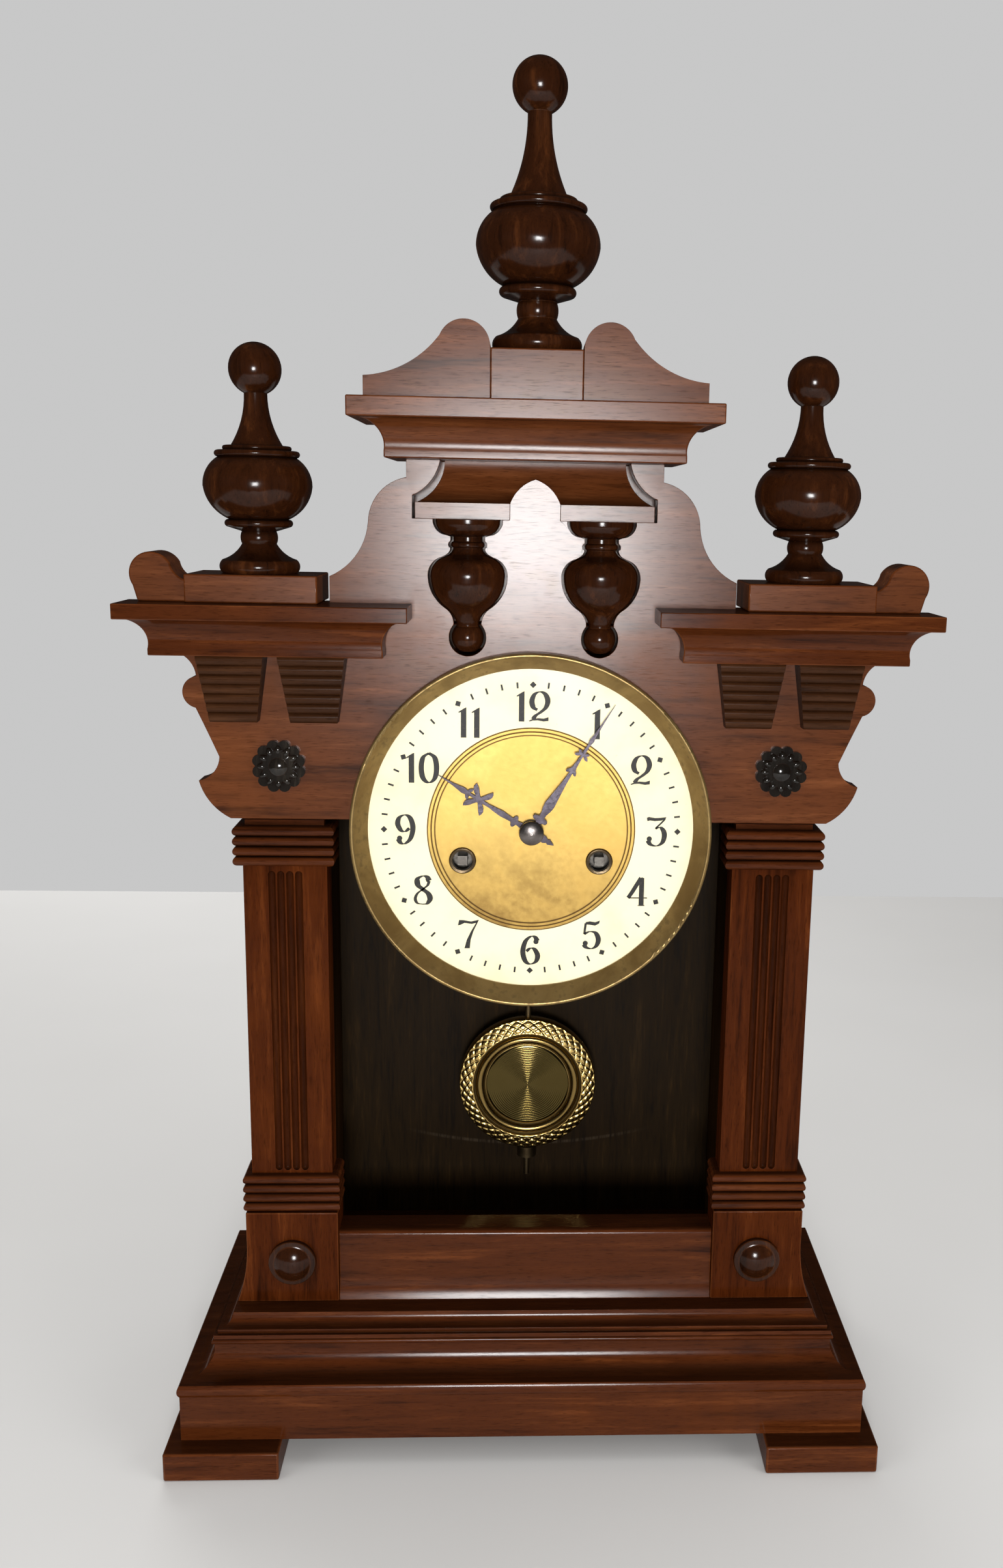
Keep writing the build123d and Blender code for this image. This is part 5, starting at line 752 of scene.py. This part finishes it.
def dial_place(point, depth):
    """A point across and up from the dial's centre, at a depth."""
    return (DIAL_X + point[0], depth, DIAL_Z + point[1])


def draw_figure(shape, figure, left, bottom):
    """Draws one figure with its lower left corner on the dial."""
    def place(point, depth):
        return dial_place((left + point[0] * FIGURE_HEIGHT, bottom + point[1] * FIGURE_HEIGHT), depth)

    _, strokes, balls, wedges = FIGURES[figure]
    for weight, stroke in strokes:
        ribbon(shape, pen_edges(stroke, weight), place, DIAL_FACE_Y - PAINT, DIAL_FACE_Y)
    for outline in [*wedges, *(disc_points(x, y, BALL) for x, y in balls)]:
        prism(shape, outline, place, DIAL_FACE_Y - WEDGE_PAINT, DIAL_FACE_Y)


shape = bmesh.new()
for hour in range(1, HOURS + 1):
    text = str(hour)
    widths = [FIGURES[figure][0] for figure in text]
    total = (sum(widths) + FIGURE_GAP * (len(text) - 1)) * FIGURE_HEIGHT
    turn = 2 * pi * hour / HOURS
    left = FIGURE_CIRCLE * sin(turn) - total / 2
    for figure, width in zip(text, widths):
        draw_figure(shape, figure, left, FIGURE_CIRCLE * cos(turn) - FIGURE_HEIGHT / 2)
        left += (width + FIGURE_GAP) * FIGURE_HEIGHT
piece("dial_figures", closed_mesh("dial_figures", shape, black), "case", "hand_steel")

MINUTES = 60
MINUTE_CIRCLE = 59.4 * MM
DASH_SIZE = (2.4 * MM, 0.75 * MM, PAINT)
DOT_SIZE = (1.35 * MM, 1.35 * MM, PAINT)
dash_ring = ring_group("dash_ring", "GeometryNodeMeshCube", {"Size": (1, 1, 1)})
dot_ring = ring_group("dot_ring", "GeometryNodeMeshCylinder", {"Vertices": 4, "Radius": 1, "Depth": 1})
mark_centre = (DIAL_X, DIAL_FACE_Y - PAINT / 2, DIAL_Z)
for name, group, size, kept, dropped in (
        ("minute_dashes", dash_ring, DASH_SIZE, -1, 0), ("five_minute_dots", dot_ring, DOT_SIZE, 0, -1)):
    mesh = ring_mesh(name, group, {
        "Count": MINUTES, "Radius": MINUTE_CIRCLE, "Stretch": size,
        "Every": MINUTES // HOURS, "Kept": kept, "Dropped": dropped, "Material": black,
        "Centre": mark_centre}, smooth=False)
    piece(name, mesh, "case", "hand_steel")

# Hands and their collet
# Steel hands cut from sheet with curled leaves and blued to a dull grey; a domed steel collet holds them on.
# They ride on the hour pipe and the cannon pinion.
HOUR_ANGLE = 301.5
MINUTE_ANGLE = 32.0
HAND_EDGE = 0.12 * MM
SHEET_STEP = 0.004 * MM
LEAF_STEPS = 12
LEAF_ROOT = 0.3
LEAF_TIP = 0.05
LEAF_FULL = 0.62
LEAF_SWELL = 1.6
LEAF_ROUND = 6
HUB_SIDES = 40
hand_steel = aged_metal(
    "hand_steel", rgb(0.085, 0.075, 0.092), rgb(0.05, 0.042, 0.05), rgb(0.024, 0.019, 0.019),
    rough=0.36, spots=0.35, scale=90)
collet_steel = aged_metal(
    "collet_steel", rgb(0.26, 0.235, 0.225), rgb(0.16, 0.14, 0.13), rgb(0.06, 0.048, 0.04),
    rough=0.26, spots=0.35, scale=120)


def blade(*rows):
    """An outline along the hand from (distance, half width) rows, the same on both sides."""
    return [*rows, *((along, -half) for along, half in reversed(rows))]


def petal(along, angle, length, width, bend):
    """A curled leaf from a point on the hand's line, narrow at its root and round at its end."""
    x, y = along, 0.0
    left, right = [], []
    for i in range(LEAF_STEPS + 1):
        t = i / LEAF_STEPS
        heading = radians(angle + bend * t * t)
        swell = LEAF_ROOT + (1 - LEAF_ROOT) * sin(pi * t * LEAF_FULL) ** LEAF_SWELL
        half = width * swell * (1 - t ** LEAF_ROUND) + LEAF_TIP
        left.append((x - half * sin(heading), y + half * cos(heading)))
        right.append((x + half * sin(heading), y - half * cos(heading)))
        x += length / LEAF_STEPS * cos(heading)
        y += length / LEAF_STEPS * sin(heading)
    return left + right[::-1]


# Outlines in millimetres along and across the hand
HOUR_SHAPES = [
    disc_points(0, 0, 4.9, HUB_SIDES),
    blade((-10.6, 0.1), (-8.2, 1.15), (-7.4, 0.8), (-6.2, 1.5), (-4.2, 1.7)),
    blade((4.2, 1.3), (6.9, 0.85), (7.4, 2.1), (8.1, 2.5), (8.8, 2.1), (9.3, 0.9), (11.5, 1.05), (14.2, 1.25),
          (17, 1.0), (19.8, 0.65), (22.6, 0.7), (24.2, 1.35), (25.6, 1.3), (27.2, 0.65), (28.6, 0.6),
          (30.6, 0.95), (32.4, 1.25), (34.2, 0.95), (37, 0.55), (40.5, 0.28), (44.3, 0.06)),
    petal(24.2, 34, 7.4, 1.25, 46), petal(24.2, -34, 7.4, 1.25, -46), petal(25.6, 146, 7.2, 1.2, -66),
    petal(25.6, -146, 7.2, 1.2, 66), petal(31.2, 140, 3.4, 0.7, -30), petal(31.2, -140, 3.4, 0.7, 30)]
MINUTE_SHAPES = [
    disc_points(0, 0, 4.2, HUB_SIDES),
    blade((3.4, 1.5), (5.2, 1.15), (5.6, 2.9), (6.4, 3.3), (7.2, 2.9), (7.7, 1.15), (9.2, 1.2), (11.2, 1.8),
          (13.4, 2.1), (16, 1.85), (20, 1.4), (24, 1.0), (28.4, 0.7), (33, 0.75), (36.6, 0.55), (39.4, 0.65),
          (42.4, 0.55), (44.6, 0.95), (46.8, 0.6), (52, 0.34), (61.8, 0.06)),
    petal(31.6, 146, 3.6, 0.75, -14), petal(31.6, -146, 3.6, 0.75, 14),
    blade((28.8, 0.6), (30.6, 1.25), (33, 0.6)),
    petal(38.6, 132, 3.7, 0.7, -30), petal(38.6, -132, 3.7, 0.7, 30), petal(37.6, 54, 2.9, 0.6, 30),
    petal(37.6, -54, 2.9, 0.6, -30)]


def cut_hand(name, node, shapes, angle):
    """A hand cut from sheet in the CAD hand's place, turned clockwise from twelve."""
    low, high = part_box(node)
    turn = radians(90 - angle)

    def place(point, depth):
        d, w = point[0] * MM, point[1] * MM
        return dial_place((d * cos(turn) - w * sin(turn), d * sin(turn) + w * cos(turn)), depth)

    shape = bmesh.new()
    for i, outline in enumerate(shapes):
        prism(shape, outline, place, low.y + SHEET_STEP * i, high.y)
    stand_in(name, softened(closed_mesh(name, shape, hand_steel, hand_steel), HAND_EDGE), node)


cut_hand("hour_hand_cut", "hour_hand", HOUR_SHAPES, HOUR_ANGLE)
cut_hand("minute_hand_cut", "minute_hand", MINUTE_SHAPES, MINUTE_ANGLE)
eased("hand_nut", collet_steel, collet_steel, width=0.25 * MM)

# Movement behind the dial
# Brass plates, wheels and barrels with steel arbors, springs, clicks and hammer, on brackets, and a gong.
# Little of it can be seen, so the machined shapes stay; the winding squares are a dulled steel, and the rod
# and its nut a dark brass that paints the shade they hang in.
movement_brass = aged_metal(
    "movement_brass", rgb(0.68, 0.49, 0.22), rgb(0.56, 0.38, 0.155), rgb(0.3, 0.19, 0.08),
    rough=0.24, spots=0.35, scale=70)
movement_steel = aged_metal(
    "movement_steel", rgb(0.46, 0.455, 0.445), rgb(0.36, 0.355, 0.35), rgb(0.16, 0.13, 0.11),
    rough=0.24, spots=0.3, scale=90)
# Painted shade: the pendulum rod and its nut get a near-black brass for the shade they hang in
dark_shaded_brass = aged_metal(
    "dark_shaded_brass", rgb(0.11, 0.078, 0.04), rgb(0.07, 0.047, 0.024), rgb(0.025, 0.017, 0.01),
    rough=0.4, spots=0.4, scale=120)
arbor_steel = aged_metal(
    "arbor_steel", rgb(0.135, 0.125, 0.11), rgb(0.095, 0.085, 0.075), rgb(0.035, 0.03, 0.025),
    rough=0.34, spots=0.35, scale=120, bare=0.9)
MOVEMENT = {"movement_brass": movement_brass, "movement_steel": movement_steel}
DULLED_AND_SHADED = {"pendulum_rod": dark_shaded_brass, "rating_nut": dark_shaded_brass,
          "time_winding_arbor": arbor_steel, "strike_winding_arbor": arbor_steel}
for node, part in frame["nodes"].items():
    if SLOT_OF[node] in MOVEMENT and not part.hide_render:
        for slot in part.material_slots:
            slot.link = "OBJECT"
            slot.material = DULLED_AND_SHADED.get(node, MOVEMENT[SLOT_OF[node]])

# Pendulum bob
# A pressed brass bob: a cross-hatched convex rim, a groove and a polished turned disc with a lip; the groove
# carries painted shade, the disc and lip a painted dark reflection.
# It hangs on a thin rod of that dark brass, painted as shade, and is set by the nut under it.
HATCHES = 36
HATCH_ROWS = 2
HATCH_DEPTH = 0.55
HATCH_SLOPE = 1.8
HATCH_FADE = 7
HATCH_SAMPLES = 12
RIM_STEPS = 18
RIM_INNER = (25.0, 6.3)
RIM_OUTER = (31.2, 4.3)
RIM_BULGE = 0.4
TURNED_RINGS = 22
TURNING_PITCH = 0.85
TURNING_DEPTH = 0.06
DISC_HEIGHT = 4.9
BOB_SHARP_ANGLE = 55

# Radius and height in millimetres, from the middle of the front to the middle of the back
TURNING = [
    (TURNING_PITCH * (i / 4), DISC_HEIGHT + TURNING_DEPTH * sin(pi / 2 * i)) for i in range(4 * TURNED_RINGS)]
LIP_PROFILE = [
    (18.9, 4.75), (19.3, 4.3), (19.7, 4.4), (20.1, 5.3), (20.9, 6.1), (21.9, 6.4), (22.9, 6.1), (23.6, 5.3),
    (24.0, 4.2), (24.5, 4.2), (24.7, 5.6)]
BACK_PROFILE = [
    (31.4, 2.6), (31.5, 1.6), (31.5, -0.6), (30.9, -1.6), (27.0, -2.6), (20.0, -3.8), (10.0, -4.7), (0, -5.0)]

# Radii in millimetres between which each band of the front fades in and out
DISC_END = (19.0, 19.1)
INNER_GROOVE = (19.1, 19.3, 19.6, 20.2)
LIP = (19.4, 20.0, 23.9, 24.6)
OUTER_GROOVE = (23.5, 24.0, 24.5, 25.0)
RIM_BRASS = rgb(0.70, 0.49, 0.175)
CLOUDED_RIM = rgb(0.54, 0.355, 0.115)
LIP_PAINTED_REFLECTION = rgb(0.17, 0.11, 0.036)
DISC_PAINTED_REFLECTION = rgb(0.058, 0.043, 0.0135)
BOB_GROOVE_SHADE = rgb(0.03, 0.019, 0.008)
BOB_CLOUDS = {"scale": 60, "detail": 4, "rough": 0.6}
BOB_RELIEF = 0.02 * MM
bob_low, bob_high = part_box("pendulum_bob")
bob_middle = (bob_low + bob_high) / 2


def turned_brass():
    """Bright brass on the rim; the disc and its lip are painted dark as the dark surroundings they mirror,
    and the grooves beside the lip carry painted shade.
    """
    finish = Finish("bob_brass", {"Metallic": 1.0})
    reach = from_axis(finish, bob_middle.x, bob_middle.z)

    def rise(low, high):
        return finish.step(reach, low * MM, high * MM)

    def band(start, full, fading, end):
        return rise(start, full) * (1 - rise(fading, end))

    inner = 1 - rise(*DISC_END)
    groove_shade = band(*INNER_GROOVE) + band(*OUTER_GROOVE)
    clouds = finish.noise(finish.point(), **BOB_CLOUDS)
    colour = finish.mix(finish.step(clouds, 0.38, 0.7), RIM_BRASS, CLOUDED_RIM)
    # Painted reflection: the lip and the disc are darkened to the dark surroundings they mirror
    colour = finish.mix(band(*LIP) * 0.85, colour, LIP_PAINTED_REFLECTION)
    colour = finish.mix(inner * 0.95, colour, DISC_PAINTED_REFLECTION)
    # Painted shade: the grooves beside the lip darken towards near-black
    colour = finish.mix(groove_shade * 0.9, colour, BOB_GROOVE_SHADE)
    return finish.paint({
        "Base Color": colour, "Roughness": 0.24 - inner * 0.1 + groove_shade * 0.35,
        "Normal": finish.bump(clouds, BOB_RELIEF)})


def rim_point(share, angle):
    """Radius and height on the rim at a share of its width, with two families of grooves that cross."""
    radius = RIM_INNER[0] + (RIM_OUTER[0] - RIM_INNER[0]) * share
    out = RIM_INNER[1] + (RIM_OUTER[1] - RIM_INNER[1]) * share + RIM_BULGE * sin(pi * share)
    lean = pi * HATCH_ROWS * share
    left = abs(sin(HATCHES / 2 * angle + lean))
    right = abs(sin(HATCHES / 2 * angle - lean))
    raised = min(1, HATCH_SLOPE * left) * min(1, HATCH_SLOPE * right)
    fade = min(1, HATCH_FADE * share, HATCH_FADE * (1 - share))
    return radius, out - HATCH_DEPTH * fade * (1 - raised)


def bob_place(radius, out, angle):
    """A point in front of the bob's middle plane, at an angle round its centre."""
    return bob_middle + Vector((radius * cos(angle), -out, radius * sin(angle))) * MM


def bob_mesh():
    """The bob turned about its level axis, with the hatching pressed into its rim."""
    around = HATCHES * HATCH_SAMPLES
    turns = [2 * pi * i / around for i in range(around)]
    rows = [[point] * around for point in TURNING + LIP_PROFILE]
    rows += [[rim_point(i / RIM_STEPS, angle) for angle in turns] for i in range(RIM_STEPS + 1)]
    rows += [[point] * around for point in BACK_PROFILE]
    shape = bmesh.new()
    rings = []
    for row in rows:
        corners = [bob_place(radius, out, angle) for angle, (radius, out) in zip(turns, row)]
        rings.append([shape.verts.new(corner) for corner in corners[:1 if row[0][0] == 0 else around]])
    for first, second in zip(rings, rings[1:]):
        for i in range(around):
            j = (i + 1) % around
            near = [first[i % len(first)], first[j % len(first)]]
            far = [second[j % len(second)], second[i % len(second)]]
            shape.faces.new(list(dict.fromkeys(near + far)))
    smooth_faces(shape, BOB_SHARP_ANGLE)
    return closed_mesh("pendulum_bob_pressed", shape, turned_brass())


stand_in("pendulum_bob_pressed", bob_mesh(), "pendulum_bob")

# Floor, light and camera
# A plain pale floor under soft lamps in front, at both sides, above and behind.
# The camera stands where the photograph was taken.
FLOOR_HALF = 0.8
floor_finish = Finish("floor_pale", {"Roughness": 0.7, "Specular IOR Level": 0.2})
mottle = floor_finish.noise(floor_finish.point(), scale=6, detail=2)
floor_paint = floor_finish.paint({
    "Base Color": floor_finish.mix(mottle, rgb(0.60, 0.59, 0.575), rgb(0.64, 0.63, 0.615))})
shape = bmesh.new()
corners = ((-1, -1), (1, -1), (1, 1), (-1, 1))
shape.faces.new([shape.verts.new((FLOOR_HALF * x, FLOOR_HALF * y, 0)) for x, y in corners])
mesh = bpy.data.meshes.new("floor")
shape.to_mesh(mesh)
shape.free()
mesh.materials.append(floor_paint)
floor = bpy.data.objects.new("floor", mesh)
bpy.context.scene.collection.objects.link(floor)

# Place, size and power of each lamp; only the key lamp is mirrored in the polish
LOOK_AT = Vector((0, -0.02, 0.28))
LAMPS = {
    "key_lamp": ((0.0, -1.25, 0.36), 0.24, 13.5),
    "fill_lamp": ((1.1, -0.75, 0.6), 0.8, 6.5),
    "side_lamp": ((-1.1, -0.75, 0.6), 0.8, 4.2),
    "top_lamp": ((0.1, 0.1, 2.4), 2.4, 30.0),
    "back_lamp": ((-0.5, 1.3, 0.8), 1.0, 10.0),
}
for name, (place, size, power) in LAMPS.items():
    lamp = bpy.data.lights.new(name, "AREA")
    lamp.size = size
    lamp.energy = power
    holder = bpy.data.objects.new(name, lamp)
    holder.location = place
    holder.rotation_euler = (LOOK_AT - Vector(place)).to_track_quat("-Z", "Y").to_euler()
    holder.visible_glossy = name == "key_lamp"
    bpy.context.scene.collection.objects.link(holder)

# Strength of the surrounding light as it falls on the clock, in the polish and as the backdrop
WORLD_GREY = rgb(0.8, 0.8, 0.8)
WORLD_LIGHT = 0.26
MIRRORED = 0.05
BACKDROP = 0.72
world = bpy.data.worlds.new("studio")
world.use_nodes = True
studio = Graph(world.node_tree)
seen = studio.node("ShaderNodeLightPath", {}, {}, "Is Camera Ray")
mirrored = studio.node("ShaderNodeLightPath", {}, {}, "Is Glossy Ray")
studio.fill(world.node_tree.nodes["Background"], {
    "Color": WORLD_GREY,
    "Strength": WORLD_LIGHT + seen * (BACKDROP - WORLD_LIGHT) - mirrored * (WORLD_LIGHT - MIRRORED)})
bpy.context.scene.world = world

CAMERA_PLACE = Vector((-4.0, -571.0, 393.9)) * MM
CAMERA_YAW = -2.794
CAMERA_PITCH = -11.45
CAMERA_ROLL = 1.169
FOCAL_LENGTH = 31.79
SENSOR_HEIGHT = 36
VIEW_SHIFT = -0.0553
NEAR_CLIP = 0.02
camera = bpy.data.cameras.new("camera")
camera.sensor_fit = "VERTICAL"
camera.sensor_height = SENSOR_HEIGHT
camera.lens = FOCAL_LENGTH
camera.shift_x = VIEW_SHIFT
camera.clip_start = NEAR_CLIP
holder = bpy.data.objects.new("camera", camera)
holder.matrix_world = (
    Matrix.Translation(CAMERA_PLACE) @ Matrix.Rotation(radians(CAMERA_YAW), 4, "Z")
    @ Matrix.Rotation(radians(90 + CAMERA_PITCH), 4, "X") @ Matrix.Rotation(radians(CAMERA_ROLL), 4, "Z"))
bpy.context.scene.collection.objects.link(holder)
bpy.context.scene.camera = holder
bpy.context.scene.view_settings.view_transform = "Standard"
